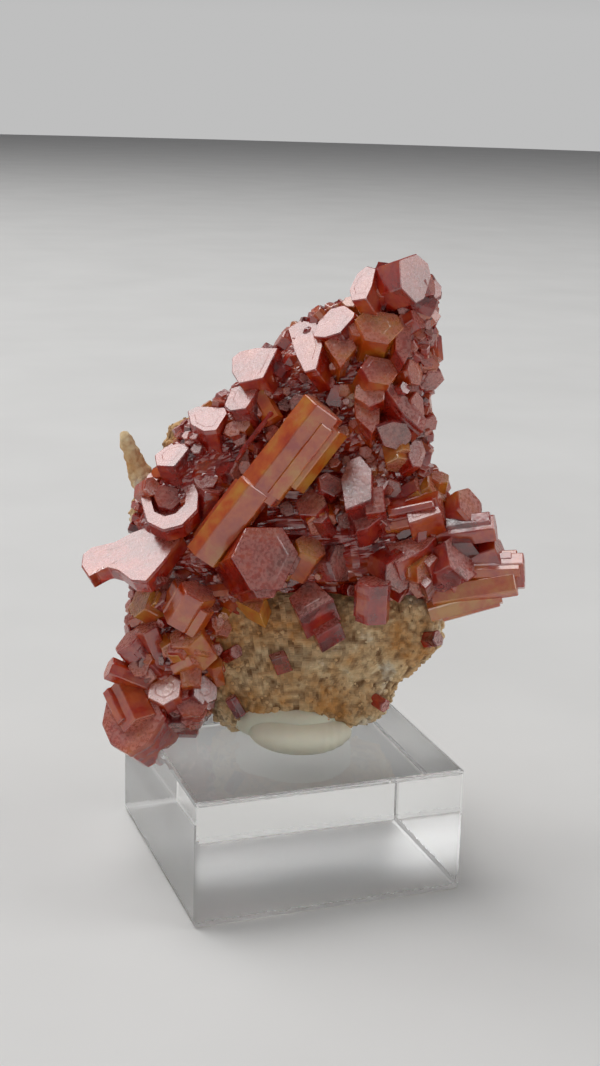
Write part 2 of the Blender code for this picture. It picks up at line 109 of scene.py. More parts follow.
CRYSTALS = [Crystal(*row) for row in (
    ("hollow filling", -10.7, 21.9, 6.3, 20, 30, 1.35, 2.2, 20, 0.30),
    ("hollow filling low", -11.6, 20.3, 6.1, -40, 40, 1.00, 2.0, 0, 0.35),
    ("hollow filling high", -12.0, 22.9, 6.2, 60, 40, 0.95, 2.0, 10, 0.45),
    ("mauve stub", -6.6, 22.6, 6.7, 8, 72, 1.15, 3.0, 20, 0.20),
    ("peak red", 8.8, 40.6, 8.7, 25, 35, 1.75, 4.4, 0, 0.35),
    ("peak bulge", 12.7, 40.8, 8.5, 75, 62, 1.15, 2.2, 0, 0.50),
    ("neck amber", 8.2, 36.8, 9.4, 15, 30, 2.15, 4.4, 25, 0.72),
    ("neck mauve", 11.7, 37.7, 8.2, 60, 60, 1.10, 3.0, 0, 0.30),
    ("neck tile", 8.1, 33.0, 9.5, 30, 32, 1.75, 3.4, 5, 0.55),
    ("neck cube", 7.3, 31.1, 9.1, -15, 24, 1.45, 3.2, 20, 0.45),
    ("edge bulge upper", 11.4, 33.0, 7.9, 80, 55, 1.30, 3.4, 10, 0.60),
    ("edge bulge lower", 11.7, 29.8, 7.8, 85, 58, 1.45, 3.2, 30, 0.50),
    ("amber wedge", 10.2, 24.7, 7.5, 170, 62, 1.45, 3.6, 0, 0.85),
    ("amber long prism", 3.4, 29.6, 10.0, 38, 80, 2.15, 9.6, 12, 0.66, 1.05),
    ("amber long side", 4.3, 28.0, 9.5, 38, 80, 1.45, 6.4, 30, 0.85),
    ("orange long prism", -2.6, 22.9, 8.9, 38, 80, 1.75, 8.0, 10, 0.66, 1.05),
    ("red barrel", -1.6, 16.6, 9.6, 70, 24, 3.05, 5.4, 18, 0.28),
    ("crimson cluster a", 2.2, 21.4, 8.1, -30, 40, 1.60, 3.2, 10, 0.22),
    ("crimson cluster b", 3.9, 23.1, 7.9, 30, 35, 1.30, 3.2, 25, 0.22),
    ("orange cluster", 3.2, 19.5, 8.0, 160, 45, 1.40, 3.0, 0, 0.70),
    ("orange prism end", 13.8, 21.1, 7.6, 78, 74, 1.40, 5.2, 30, 0.60),
    ("wing upper", 16.4, 21.3, 6.7, 60, 50, 1.65, 3.4, 10, 0.50),
    ("wing knob", 13.8, 23.7, 6.4, 10, 50, 0.95, 2.4, 0, 0.80),
    ("wing orange", 13.5, 22.7, 6.5, 60, 60, 1.60, 3.4, 20, 0.80),
    ("wing band", 18.7, 19.2, 6.7, 82, 78, 1.30, 6.6, 0, 0.40),
    ("wing ruby", 15.7, 16.7, 7.1, 60, 48, 2.50, 4.0, 0, 0.28),
    ("wing bundle a", 21.4, 15.4, 5.7, 88, 80, 1.75, 8.2, 10, 0.45),
    ("wing bundle b", 20.6, 14.3, 6.2, 80, 78, 1.35, 7.6, 30, 0.70),
    ("wing bundle c", 19.3, 17.0, 5.7, 70, 70, 1.80, 6.0, 20, 0.35),
    ("wing underside", 19.3, 13.4, 4.9, 74, 82, 1.30, 6.6, 10, 0.92),
    ("wing red low", 10.1, 15.2, 7.5, 120, 40, 1.90, 3.6, 0, 0.30),
    ("wing orange low", 12.6, 15.4, 7.3, 100, 45, 1.55, 3.2, 10, 0.65),
    ("red column", 7.8, 14.5, 8.1, 2, 72, 1.50, 3.7, 15, 0.35),
    ("dark cluster", 5.0, 16.0, 6.8, 90, 50, 1.90, 3.4, 0, 0.08),
    ("amber foot", 2.3, 17.6, 7.4, 30, 50, 1.60, 3.4, 20, 0.75),
    ("ember cube", -7.7, 13.6, 7.6, 32, 66, 1.75, 3.6, 25, 0.50),
    ("orange group a", -8.9, 9.7, 6.6, -30, 50, 1.80, 3.4, 10, 0.70),
    ("orange group b", -7.6, 8.9, 6.3, 60, 55, 1.50, 3.2, 30, 0.60),
    ("orange group c", -13.2, 12.7, 5.3, -60, 58, 1.60, 4.0, 10, 0.80),
    ("spiky pink a", -14.3, 9.1, 5.3, -42, 66, 1.55, 5.0, 0, 0.45),
    ("spiky pink b", -16.1, 6.5, 5.1, -66, 72, 1.10, 5.2, 20, 0.45),
    ("spiky pink c", -12.7, 10.2, 5.8, -20, 64, 1.20, 4.4, 10, 0.45),
    ("foot crystal low", -13.0, 1.1, 5.1, 150, 60, 1.95, 4.4, 0, 0.55),
    ("foot mauve", -8.6, 3.5, 5.5, 20, 30, 1.50, 3.2, 10, 0.35),
    ("foot dark", -7.4, 4.5, 4.9, 70, 45, 1.60, 3.2, 0, 0.12),
    ("foot edge", -10.0, 1.0, 4.3, 170, 62, 1.20, 3.4, 0, 0.30),
    ("foot upper", -10.9, 4.6, 5.7, -20, 40, 1.70, 3.6, 20, 0.50),
    ("blade left of the amber", -1.2, 29.4, 8.2, 38, 84, 0.55, 4.6, 0, 0.30, 0.45),
    ("blade further left", -1.9, 28.6, 7.8, 36, 84, 0.50, 4.2, 0, 0.20, 0.40),
    ("blade under the slope", -2.6, 27.7, 7.4, 34, 84, 0.50, 3.8, 0, 0.45, 0.40),
)]

# A corner is given in the end face's own plane: along the axis's lean, and to the right of that
PLATES = [Plate(*row) for row in (
    ("slope tile a", -2.8, 33.6, 7.4, -35, 48, 4.6, 0.35,
     ((3.0, -1.2), (3.1, -0.3), (2.1, 1.1), (0.2, 2.6), (-2.2, -0.1), (-0.8, -2.1), (1.2, -2.0))),
    ("slope tile b", -3.8, 31.0, 7.5, -33, 50, 3.8, 0.25,
     ((0.2, -2.0), (1.9, -0.6), (0.5, 2.3), (-1.2, 0.6), (-2.0, -0.5), (-1.0, -1.8))),
    ("slope tile c", -7.0, 28.9, 6.9, -12, 48, 3.2, 0.3,
     ((1.8, -1.7), (2.2, -0.8), (1.1, 1.7), (0.2, 1.8), (-1.9, 0.6), (-1.7, -0.5), (-0.3, -1.6))),
    ("slope tile d", -10.3, 25.8, 6.2, -20, 48, 2.4, 0.3,
     ((0.7, -1.5), (1.3, -0.4), (1.0, 1.8), (-0.1, 1.7), (-1.9, -0.1), (-0.9, -1.6))),
    ("small hexagon", -7.2, 23.6, 6.4, -10, 25, 2.4, 0.3,
     ((1.1, -0.8), (1.0, 0.7), (-0.1, 1.2), (-1.0, 0.6), (-1.0, -0.6), (0.0, -1.2))),
    ("pink blade", -13.9, 17.0, 6.9, -22, 44, 1.6, 0.3,
     ((0.8, -4.6), (2.1, -4.2), (2.5, -3.3), (2.0, -1.1), (2.3, 0.7), (2.2, 2.7), (1.2, 4.8),
      (-0.6, 4.9), (-2.7, 2.5), (-4.1, 0.6), (-3.3, -0.6), (-1.5, -1.5), (-0.7, -2.3),
      (-0.5, -3.5), (-0.9, -4.2))),
    ("grey plate", -10.4, 16.2, 6.2, 60, 60, 1.2, 0.2,
     ((3.9, -1.2), (3.5, -0.6), (-2.2, 1.6), (-3.0, 1.3), (-3.1, 0.3))),
    ("round pink tile", 4.2, 37.4, 8.3, -38, 46, 3.4, 0.3,
     ((0.1, -2.3), (1.3, -1.1), (1.7, 0.6), (0.9, 1.7), (-0.9, 1.9), (-1.3, 1.5), (-1.8, -0.3),
      (-1.0, -1.6))),
    ("rough pink tile", 1.7, 35.3, 7.7, -40, 44, 3.0, 0.35,
     ((3.4, 0.0), (3.2, 1.3), (1.5, 2.2), (-1.4, 1.1), (-3.3, -0.8), (-2.6, -1.7), (0.2, -1.1))),
    ("brown square", 4.8, 35.0, 9.1, 10, 22, 3.2, 0.65,
     ((0.3, -1.5), (2.1, 0.3), (0.3, 1.4), (-2.0, 0.3))),
    ("peak hexagon", 11.3, 40.9, 10.1, 80, 42, 3.4, 0.3,
     ((-1.6, -1.7), (0.7, -2.2), (2.0, -1.3), (2.1, -0.2), (0.7, 1.8), (-0.5, 2.2), (-2.0, 0.8))),
    ("amber square", 7.1, 29.1, 8.9, 0, 26, 3.0, 0.6,
     ((1.4, -1.1), (1.8, -0.2), (1.3, 1.2), (-0.9, 1.1), (-1.8, 0.4), (-0.3, -1.0))),
    ("mauve column", 6.2, 23.1, 8.9, -20, 30, 4.0, 0.2,
     ((0.9, -1.2), (2.5, 0.0), (2.6, 1.2), (0.8, 1.7), (-2.1, 0.7), (-2.2, -1.8))),
    ("pale cube", 7.7, 21.6, 9.0, -20, 24, 2.6, 0.25,
     ((1.4, -0.6), (1.0, 1.2), (-1.4, 0.6), (-1.0, -1.1))),
    ("pale lid", 7.0, 19.7, 8.4, -10, 45, 2.2, 0.25,
     ((1.1, -1.2), (1.3, -0.4), (0.4, 1.0), (0.2, 1.4), (-0.8, 0.1), (-0.9, -1.0))),
    ("pink top", 12.1, 21.0, 8.3, -20, 40, 3.4, 0.5,
     ((1.5, -1.3), (1.5, 1.2), (-1.3, 1.3), (-1.2, -1.8))),
    ("wing plate", 11.0, 17.1, 7.9, -20, 46, 2.2, 0.3,
     ((2.1, -1.8), (1.7, -0.9), (1.6, 0.5), (0.6, 2.6), (-0.3, 1.3), (-1.0, -1.7))),
    ("oval pink plate", 11.6, 25.8, 7.8, 50, 36, 2.0, 0.35,
     ((-0.4, -0.9), (0.8, -1.1), (1.4, -0.5), (0.9, 0.5), (-0.7, 1.2), (-1.4, 0.6), (-1.1, -0.2))),
    ("white faced cube", 12.3, 14.4, 7.8, -20, 40, 1.8, 0.3,
     ((0.3, -0.6), (0.8, 0.3), (-0.3, 0.6), (-0.8, -0.2))),
    ("small lid", 12.7, 16.3, 7.8, -20, 40, 1.8, 0.3,
     ((0.4, -0.7), (0.7, 0.5), (0.0, 0.8), (-0.8, -0.3))),
    ("orange square", -8.6, 5.9, 6.0, 10, 24, 3.0, 0.6,
     ((0.8, -1.2), (1.2, 0.8), (-0.7, 1.1), (-1.2, -0.6))),
    ("foot body", -13.9, 1.9, 5.4, -40, 30, 4.4, 0.45,
     ((3.6, -0.6), (3.8, 0.2), (2.6, 1.7), (1.7, 3.1), (-1.8, 2.5), (-2.9, 0.0), (-2.5, -2.1),
      (-0.5, -2.9), (1.7, -2.5))),
    ("shoulder tile", 6.7, 40.6, 9.3, -40, 44, 3.0, 0.35,
     ((0.5, -1.2), (1.5, 0.3), (1.5, 1.4), (0.4, 1.8), (-1.1, 0.4), (-1.9, -0.8), (-0.9, -1.8))),
    ("diagonal blade", 10.4, 29.9, 9.2, 45, 40, 2.0, 0.25,
     ((0.0, -2.8), (0.8, -2.7), (1.0, 0.2), (0.8, 2.3), (-0.6, 2.8), (-0.8, 0.5))),
    ("mauve tile", 9.6, 27.2, 8.9, 150, 26, 3.0, 0.2,
     ((-1.7, 1.1), (-1.4, -0.4), (-0.1, -2.0), (1.1, -1.1), (1.5, 0.2), (0.3, 1.3))),
    ("pink prism top", 10.3, 36.0, 9.2, 30, 30, 2.5, 0.4,
     ((0.9, -1.3), (2.7, -1.2), (2.2, -0.2), (-0.9, 1.2), (-2.6, 1.3), (-1.7, 0.0))),
)]

# The plate that is hollow in the middle, in the same terms
HOLLOW_PLATE = Plate(
    "hollow plate", -10.5, 22.2, 6.4, -15, 40, 1.6, 0.3,
    ((4.0, 0.6), (3.3, 1.9), (1.5, 2.3), (-0.9, 2.6), (-2.7, 2.2), (-4.0, 0.6), (-4.0, -1.1), (-2.6, -2.4),
     (0.3, -2.6), (3.0, -1.6)))
HOLLOW_DEPTH = 1.1

# Crystals that stand alone on the bare rock, by the node that they stand for, and each node's seed
LONE = {
    "crystal_yellow_top": (
        Plate("yellow top", -3.3, 12.6, 5.5, -20, 48, 2.0, 0.95,
              ((0.9, -1.4), (2.0, -0.5), (-0.2, 1.5), (-2.0, 0.5))),),
    "crystal_pair": (
        Plate("pale square", 2.2, 12.9, 6.8, -20, 44, 3.0, 0.2,
              ((1.0, -1.9), (2.4, 0.6), (-1.0, 1.9), (-1.8, -1.6))),
        Plate("brown top", 3.4, 10.6, 6.1, -20, 46, 2.2, 0.1,
              ((0.3, -1.4), (1.3, 1.0), (-0.6, 1.4), (-1.3, -1.1))),),
    "crystal_white_top": (
        Plate("white top", -0.8, 7.7, 5.4, -20, 50, 2.0, 0.1,
              ((0.5, -0.8), (0.4, 0.7), (-0.5, 0.8), (-0.4, -0.7))),),
    "crystal_left_small": (Crystal("left small", -4.5, 8.0, 4.9, 60, 40, 0.75, 2.0, 0, 0.10),),
    "crystal_sunk": (Crystal("sunk", -5.1, 3.8, 4.3, -30, 75, 0.60, 2.0, 0, 0.05),),
    "crystal_right_edge": (Crystal("right edge", 13.8, 9.1, 4.0, 80, 45, 0.80, 2.6, 0, 0.20),),
    "crystal_lower_right": (Crystal("lower right", 9.0, 2.9, 3.9, 120, 45, 0.65, 2.4, 0, 0.25),),
}
LONE_SEEDS = (700, 710, 720, 800, 801, 802, 803)

# Level sections in mm: height above the block, left, right, towards at the front, and at the back
ROCK_LEVELS = (
    (0.8, -6.2, 3.6, 1.6, -3.6),
    (1.9, -7.0, 8.4, 3.0, -4.8),
    (3.6, -7.6, 9.8, 2.9, -5.2),
    (5.4, -8.6, 10.4, 2.6, -5.4),
    (6.6, -9.6, 11.8, 2.4, -5.6),
    (8.8, -11.4, 14.0, 2.0, -5.9),
    (12.5, -12.6, 14.5, 1.2, -6.3),
    (15.0, -13.6, 14.2, -0.6, -6.6),
    (18.0, -15.0, 13.8, -1.8, -7.0),
    (21.0, -15.0, 12.6, -2.4, -7.4),
    (24.0, -12.8, 11.2, -3.0, -7.7),
    (27.5, -11.6, 10.4, -3.6, -8.1),
    (31.0, -5.6, 10.4, -4.2, -8.4),
    (35.0, -2.6, 10.4, -4.8, -8.7),
    (38.0, 1.6, 10.8, -5.3, -9.0),
    (39.6, 5.0, 11.0, -5.6, -9.1),
    (41.4, 6.4, 11.2, -6.0, -9.0),
    (42.8, 7.8, 10.8, -6.5, -8.6),
)
UPPER_BED_LEVELS = (
    (14.2, -6.5, 14.0, 1.4, -2.5),
    (16.5, -14.0, 16.0, 2.0, -2.8),
    (20.0, -14.2, 15.4, 1.6, -3.4),
    (23.0, -12.4, 13.0, 0.5, -4.0),
    (26.0, -11.4, 11.6, -0.2, -4.6),
    (29.0, -8.8, 11.4, -0.8, -5.2),
    (31.5, -5.0, 11.4, -1.3, -5.6),
    (34.5, -2.6, 11.4, -1.9, -6.0),
    (37.5, 0.6, 11.4, -2.6, -6.4),
    (40.0, 6.0, 11.6, -3.3, -6.8),
    (41.8, 7.6, 11.4, -3.8, -7.0),
)
FOOT_BED_LEVELS = (
    (1.2, -13.4, -8.6, 3.2, -0.6),
    (3.0, -14.4, -7.8, 3.8, -1.2),
    (6.0, -14.4, -7.2, 3.4, -1.6),
    (9.0, -14.2, -6.8, 2.8, -2.0),
    (12.0, -14.0, -5.8, 2.2, -2.4),
    (15.5, -13.6, -3.0, 1.2, -3.0),
)
RING_SQUARENESS = 2.8

# The crust's two beds: levels, rows and seed, and their share of the small crystals
Bed = namedtuple("Bed", "levels rows seed druse_share")
BEDS = (
    Bed(UPPER_BED_LEVELS, 130, 31, 0.78),
    Bed(FOOT_BED_LEVELS, 70, 37, 0.22),
)
BED_LUMPS = Layer(1.1, 0.45, 0)
BED_LUMP_DEPTH = 0.7
BED_GRAIN = Layer(0.45, 0.4, 5)
BED_GRAIN_DEPTH = 0.25
BED_CLOUDS = Layer(1.3, 0.05, 9)
BED_CLOUD_DEPTH = 0.5

# A crystal's end face, as shares of its outline: a terrace, its step in mm, and the rim
CENTRE_SHARE = 0.25
TERRACE_SHARES = (0.45, 0.75)
TERRACE_SLOPE = 0.05
TERRACE_STEP = 0.035
HOLLOW_SHARE = 0.62
RIM_SHARE = 0.86
MIDDLE_SHIFT = 0.12
END_FACE_ROWS = 4

# A crystal's sides: where they have a ring, how far a ring's size strays, and the foot's point in mm
SIDE_SHARES = (0.12, 0.25, 0.4, 0.58, 0.78, 1.0)
SIDE_STRAY = 0.012
FOOT_POINT = 0.2

# A crystal's outline: half its width for its radius, the spread of its sides, the most that a bevel
# takes of a side, and where the first of the spread stations lies
HALF_WIDTH = 0.866
SIDE_SPREAD = (0.88, 1.12)
BEVEL_LIMIT = 0.3
FIRST_STATION = 0.37

# Neighbours of crystals over a radius in mm, as shares of the crystal; their heads sink by mm
NEIGHBOUR_FROM = 1.25
NEIGHBOUR_MOST = 3
NEIGHBOUR_REACH = (0.55, 0.85)
NEIGHBOUR_SINK = (0.25, 1.1)
NEIGHBOUR_RADIUS = (0.38, 0.62)
NEIGHBOUR_LENGTH = 0.8
NEIGHBOUR_TONE_SPREAD = 0.12

# Small crystals: a grid of places, the spread and drift of their axes, and their proportions
DRUSE_GRID = (120, 240)
DRUSE_AXIS_SPREAD = 0.42
DRUSE_AXIS_DRIFT = (-0.1, 0.0, 0.25)
DRUSE_RADIUS_SPREAD = 0.35
DRUSE_STANDING = (0.1, 1.0)
DRUSE_SIDE_SPREAD = (0.85, 1.15)
DRUSE_SHARES = (0.88, 1.0, 1.0)
DRUSE_DEPTHS = (0.0, 0.12, 3.2)
DRUSE_FOOT = 3.3
DRUSE_TONE = 0.38
DRUSE_TONE_SPREAD = 0.2

# Small crystals keep out of a cylinder over each end face: its share of the face, and its depth in mm
CLEAR_SHARE = 1.15
CLEAR_DEPTH = 0.5

# The rock's noise, and how its relief shows in its tone
ROCK_LUMPS = Layer(2.3, 0.5, 3)
ROCK_GRAIN = Layer(0.62, 0.55, 9)
ROCK_FINE = Layer(0.3, 0.5, 5)
ROCK_FINE_DEPTH = 0.16
ROCK_TONE = 0.42
GRAIN_IN_TONE = 0.75
FINE_IN_TONE = 0.35
LUMPS_IN_TONE = 0.25

# The cream finger: root and tip on the specimen's front, radius and bumps, in mm
FINGER_ROOT = (-12.8, 22.4, 1.8)
FINGER_TIP = (-15.0, 28.0, 3.4)
FINGER_RADIUS = 1.12
FINGER_SPAN = (-0.15, 0.995)
FINGER_BLUNTNESS = 5
FINGER_SWELL = 0.14
FINGER_SWELLS = 7
FINGER_BUMPS = Layer(0.7, 0.5, 21)
FINGER_BUMP_DEPTH = 0.35
FINGER_TONE = 0.62

# Loose grains: size in mm and its spread, their rings and ends, and how they crowd towards the foot
GRAIN_SIZE = 0.17
GRAIN_SPREAD = 0.35
GRAIN_LEVELS = (-0.55, 0.0, 0.55)
GRAIN_WIDTHS = (0.75, 1.05, 0.7)
GRAIN_ENDS = (-0.8, 0.85)
GRAIN_ROUGHNESS = (0.7, 1.25)
GRAIN_TONES = (0.25, 0.95)
GRAIN_CROWDING = 1.5

# Mineral tack: two flattened lobes, each as across, towards, height, and half sizes, in mm
TACK_LOBES = (
    (0.2, -0.4, 1.9, 5.9, 4.9, 1.75),
    (1.2, 2.4, 1.4, 4.8, 4.4, 1.30),
)
TACK_SIDES = 0.45
TACK_DENTS = Layer(2.6, 0.7, TACK_SEED)
TACK_DENT_DEPTH = 0.45
TACK_RIDGE_SIZE = 0.13
TACK_RIDGE_DEPTH = 0.035
TACK_RIDGES_FROM = 3.2
TACK_GAP = 0.02

# Noise in a material: cells a metre, detail, roughness and distortion
Noise = namedtuple("Noise", "scale detail roughness distortion", defaults=(0.5, 0.0))
CRYSTAL_CLOUDS = Noise(420.0, 4.0, 0.6)
CRYSTAL_SPECKS = Noise(3200.0, 3.0, 0.6)
ROCK_STAINS = Noise(210.0, 5.0, 0.65)
ROCK_SPECKS = Noise(2600.0, 4.0, 0.7)
TACK_SHADES = Noise(300.0, 4.0)
TACK_CREASES = Noise(1500.0, 5.0, distortion=1.5)
SAW_TEETH = Noise(1400.0, 4.0)
FLOOR_MOTTLE = Noise(30.0, 3.0)

# The stretches of noise that count, since it seldom reaches 0 or 1
WIDE_STRETCH = (0.3, 0.7)
NARROW_STRETCH = (0.35, 0.65)

# Bumps in the shading: strength, and depth in metres
CLOUD_BUMP = (0.25, 0.0002)
SPECK_BUMP = (0.35, 0.00003)
ROCK_BUMP = (0.8, 0.0001)
CREASE_BUMP = (0.3, 0.0001)

# Crystal: clearness, bending of light, where its colours lie, shift by clouds, painted sheen on end faces and
# roughness
CRUST_CLEARNESS = 0.35
LONE_CLEARNESS = 0.2
VANADINITE_IOR = 2.2
COLOUR_PLACES = (0.0, 0.35, 0.68, 1.0)
CLOUD_TONES = (-0.26, 0.30)
PAINTED_SHEEN_SHARES = (0.18, 0.52)
CRYSTAL_ROUGHNESS = (0.07, 0.26)
END_FACE_ROUGHNESS = 0.12

# Rock: the stretches of stain that turn it ochre and pale, and of depth from pit to high point
OCHRE_STRETCH = (0.42, 0.62)
PALE_STRETCH = (0.42, 0.32)
DEPTH_STRETCH = (0.35, 0.85)
SPECKS_IN_DEPTH = 0.5
ROCK_ROUGHNESS = 0.8

# Tack and acrylic; the frosted strip fades out between two shares of its height
TACK_SHADE = 0.90
TACK_ROUGHNESS = 0.55
TACK_GLOW = 0.15
TACK_GLOW_DEPTH = 1.0
ACRYLIC_IOR = 1.49
ACRYLIC_ROUGHNESS = (0.015, 0.6)
FROST_SHARES = (0.45, 0.25)

# Soft lights: place and size in metres, and share of the key light's power
LIGHTS = {
    "overhead_softbox": ((-0.30, 0.38, 1.05), 1.0, 1.0),
    "side_softbox": ((1.0, -0.45, 0.55), 0.7, 0.30),
    "front_fill": ((-0.7, -1.1, 0.75), 0.5, 0.12),
}
LIGHT_TARGET = (0, 0, 0.03)
FLOOR_RINGS = (0.05, 0.3, 1.0)
FLOOR_GAP = 0.02
FLOOR_COLOURS = ((0.3, (0.72, 0.715, 0.70)), (0.7, (0.76, 0.755, 0.74)))
FLOOR_ROUGHNESS = 0.65
SKY_FADE = (0.04, 0.28)
SKY_COLOURS = ((0.0, (0.52, 0.52, 0.52)), (1.0, (0.12, 0.12, 0.125)))


def length_setting(name, description, default):
    """A length that a user can change."""
    return bpy.props.FloatProperty(
        name=name, description=description, default=default, min=0.0, unit="LENGTH")


def count_setting(name, description, default):
    """A count that a user can change."""
    return bpy.props.IntProperty(name=name, description=description, default=default, min=0)


def colour_setting(name, description, default):
    """A colour that a user can change."""
    return bpy.props.FloatVectorProperty(
        name=name, description=description, default=default, subtype="COLOR", size=3, min=0.0, max=1.0)


class CrystalSettings(bpy.types.PropertyGroup):
    """Sizes and colours of the crystals."""

    bevel: length_setting("Edge bevel", "How far a crystal's edges are broken", 0.08 * MM)
    druse_count: count_setting("Small crystals", "How many small crystals fill the crust", 2300)
    druse_radius: length_setting("Small crystal radius", "The usual radius of a small crystal", 0.55 * MM)
    deep: colour_setting("Deep red", "Colour of the darkest crystals", (0.16, 0.004, 0.003))
    red: colour_setting("Red", "Colour of most crystals", (0.55, 0.020, 0.006))
    orange: colour_setting("Orange", "Colour of the lighter crystals", (0.80, 0.13, 0.012))
    amber: colour_setting("Amber", "Colour of the lightest crystals", (0.85, 0.36, 0.04))
    # Painted sheen: the pale pink that end faces' colour turns towards, standing in for the overhead
    # softbox's reflection
    painted_sheen: colour_setting("Painted_sheen", "Colour of the pale bloom on end faces", (0.86, 0.42, 0.34))


class RockSettings(bpy.types.PropertyGroup):
    """Sizes and colours of the host rock."""

    lump: length_setting("Lumps", "Depth of the rock's lumps", 0.55 * MM)
    grain: length_setting("Grain", "Depth of the rock's grain", 0.34 * MM)
    grain_count: count_setting("Grains", "How many loose grains sit on the rock", 3400)
    cream: colour_setting("Cream", "Colour of the rock's high points", (0.82, 0.62, 0.36))
    pale: colour_setting("Pale", "Colour of the rock's palest parts", (0.86, 0.80, 0.66))
    ochre: colour_setting("Ochre", "Colour of the rock's stained parts", (0.62, 0.30, 0.09))
    pit: colour_setting("Pits", "Colour of the rock's pits", (0.20, 0.095, 0.035))


class HolderSettings(bpy.types.PropertyGroup):
    """Colours of the tack and the block, and the block's sawn edge."""

    tack: colour_setting("Tack", "Colour of the mineral tack", (0.86, 0.83, 0.66))
    acrylic: colour_setting("Acrylic", "Colour of the acrylic", (0.98, 0.985, 0.98))
    saw_edge: length_setting("Frosted edge", "Height of the frosted strip at the block's foot", 0.7 * MM)


class StudioSettings(bpy.types.PropertyGroup):
    """The floor and the light."""

    floor_radius: length_setting("Floor radius", "Radius of the floor", 2.0)
    key_power: bpy.props.FloatProperty(
        name="Key light", description="Power of the overhead softbox", default=11.0, min=0.0, unit="POWER")


def face_axes():
    """Across, up and out of the specimen's front, as rows."""
    turn = Matrix.Rotation(math.radians(-FACE_TURN), 3, "Z")
    tip = Matrix.Rotation(math.radians(-FACE_TIP), 3, "X")
    roll = Matrix.Rotation(math.radians(-FACE_ROLL), 3, "Y")
    facing = turn @ tip @ roll
    return np.array([facing @ Vector(v) for v in ((1, 0, 0), (0, 0, 1), (0, -1, 0))])


FACE = face_axes()
SECTION_ACROSS = np.array((math.cos(math.radians(FACE_TURN)), -math.sin(math.radians(FACE_TURN)), 0.0))
SECTION_TOWARDS = np.array((-math.sin(math.radians(FACE_TURN)), -math.cos(math.radians(FACE_TURN)), 0.0))


def on_face(places):
    """World places of points given in mm across, up and out of the specimen's front."""
    return np.array((0.0, 0.0, BLOCK_TOP)) + np.asarray(places, float) @ FACE * MM


def unit(vectors):
    """Vectors scaled to length one."""
    return vectors / np.maximum(np.linalg.norm(vectors, axis=-1, keepdims=True), 1e-12)


def ring_angles(columns):
    """Angles spread evenly round a ring."""
    return np.linspace(0, 2 * math.pi, columns, endpoint=False)


def spokes(first, second, angles):
    """Directions out from each body's middle, in the plane of its first and second."""
    return first[:, None] * np.cos(angles)[:, None] + second[:, None] * np.sin(angles)[:, None]


def hashed(cells, seed):
    """A repeatable number from 0 to 1 for each whole-number cell, mixed from its three places."""
    n = cells.astype(np.int64)
    h = (n[..., 0] * 73856093) ^ (n[..., 1] * 19349663) ^ (n[..., 2] * 83492791) ^ (seed * 40503)
    h = (h ^ (h >> 13)) * 1274126177
    h = (h ^ (h >> 16)) * 2246822519
    return ((h ^ (h >> 15)) & 0xFFFFFF) / float(0xFFFFFF)


def soft_noise(points, size, seed):
    """Smooth noise from 0 to 1: cell corners' numbers blended by an eased distance along each axis."""
    where = points / size
    low = np.floor(where)
    part = where - low
    part = part * part * (3 - 2 * part)
    total = 0.0
    for corner in np.ndindex(2, 2, 2):
        share = np.prod(np.where(np.array(corner), part, 1 - part), axis=-1)
        total = total + share * hashed(low + np.array(corner), seed)
    return total


def cell_noise(points, size, seed):
    """Distance to the nearest scattered point, one point to a cell, in cells."""
    where = points / size
    low = np.floor(where)
    nearest = np.full(where.shape[:-1], 9.0)
    for step in np.ndindex(3, 3, 3):
        cell = low + np.array(step) - 1
        spot = cell + np.stack([hashed(cell, seed + k) for k in range(3)], axis=-1)
        nearest = np.minimum(nearest, np.linalg.norm(spot - where, axis=-1))
    return nearest


def bulges(points, layer, seed=0):
    """Cell noise turned over, so that a cell's middle stands out: the layer's level less the noise."""
    return layer.level - cell_noise(points, layer.cell * MM, layer.seed + seed)


def stack_faces(bodies, rows, columns):
    """Faces of closed stacks of rings: quads between neighbouring rings, and a fan to each end's point."""
    base = (np.arange(bodies) * (rows * columns + 2))[:, None, None]
    row, column = np.arange(rows - 1)[None, :, None], np.arange(columns)[None, None, :]
    following = (column + 1) % columns
    corner = base + row * columns
    quads = np.stack([corner + column, corner + following, corner + columns + following,
                      corner + columns + column], axis=-1).reshape(-1, 4)
    around = np.arange(columns)[None, :]
    after = (around + 1) % columns
    start = (np.arange(bodies) * (rows * columns + 2))[:, None]
    last = start + (rows - 1) * columns
    first_fan = np.stack([start + after, start + around, start + rows * columns + 0 * around], axis=-1)
    last_fan = np.stack([last + around, last + after, start + rows * columns + 1 + 0 * around], axis=-1)
    return quads, np.concatenate([first_fan.reshape(-1, 3), last_fan.reshape(-1, 3)])


def stack_points(rings, first, last):
    """The points of closed stacks: each body's rings, then its two end points."""
    bodies = rings.shape[0]
    flat = rings.reshape(bodies, -1, 3)
    return np.concatenate([flat, first[:, None], last[:, None]], axis=1).reshape(-1, 3)


def signed_volume(points, triangles):
    """Volume inside triangles, which is negative where they point in."""
    a, b, c = (points[triangles[:, k]] for k in range(3))
    return np.einsum("ij,ij->i", a, np.cross(b, c)).sum() / 6


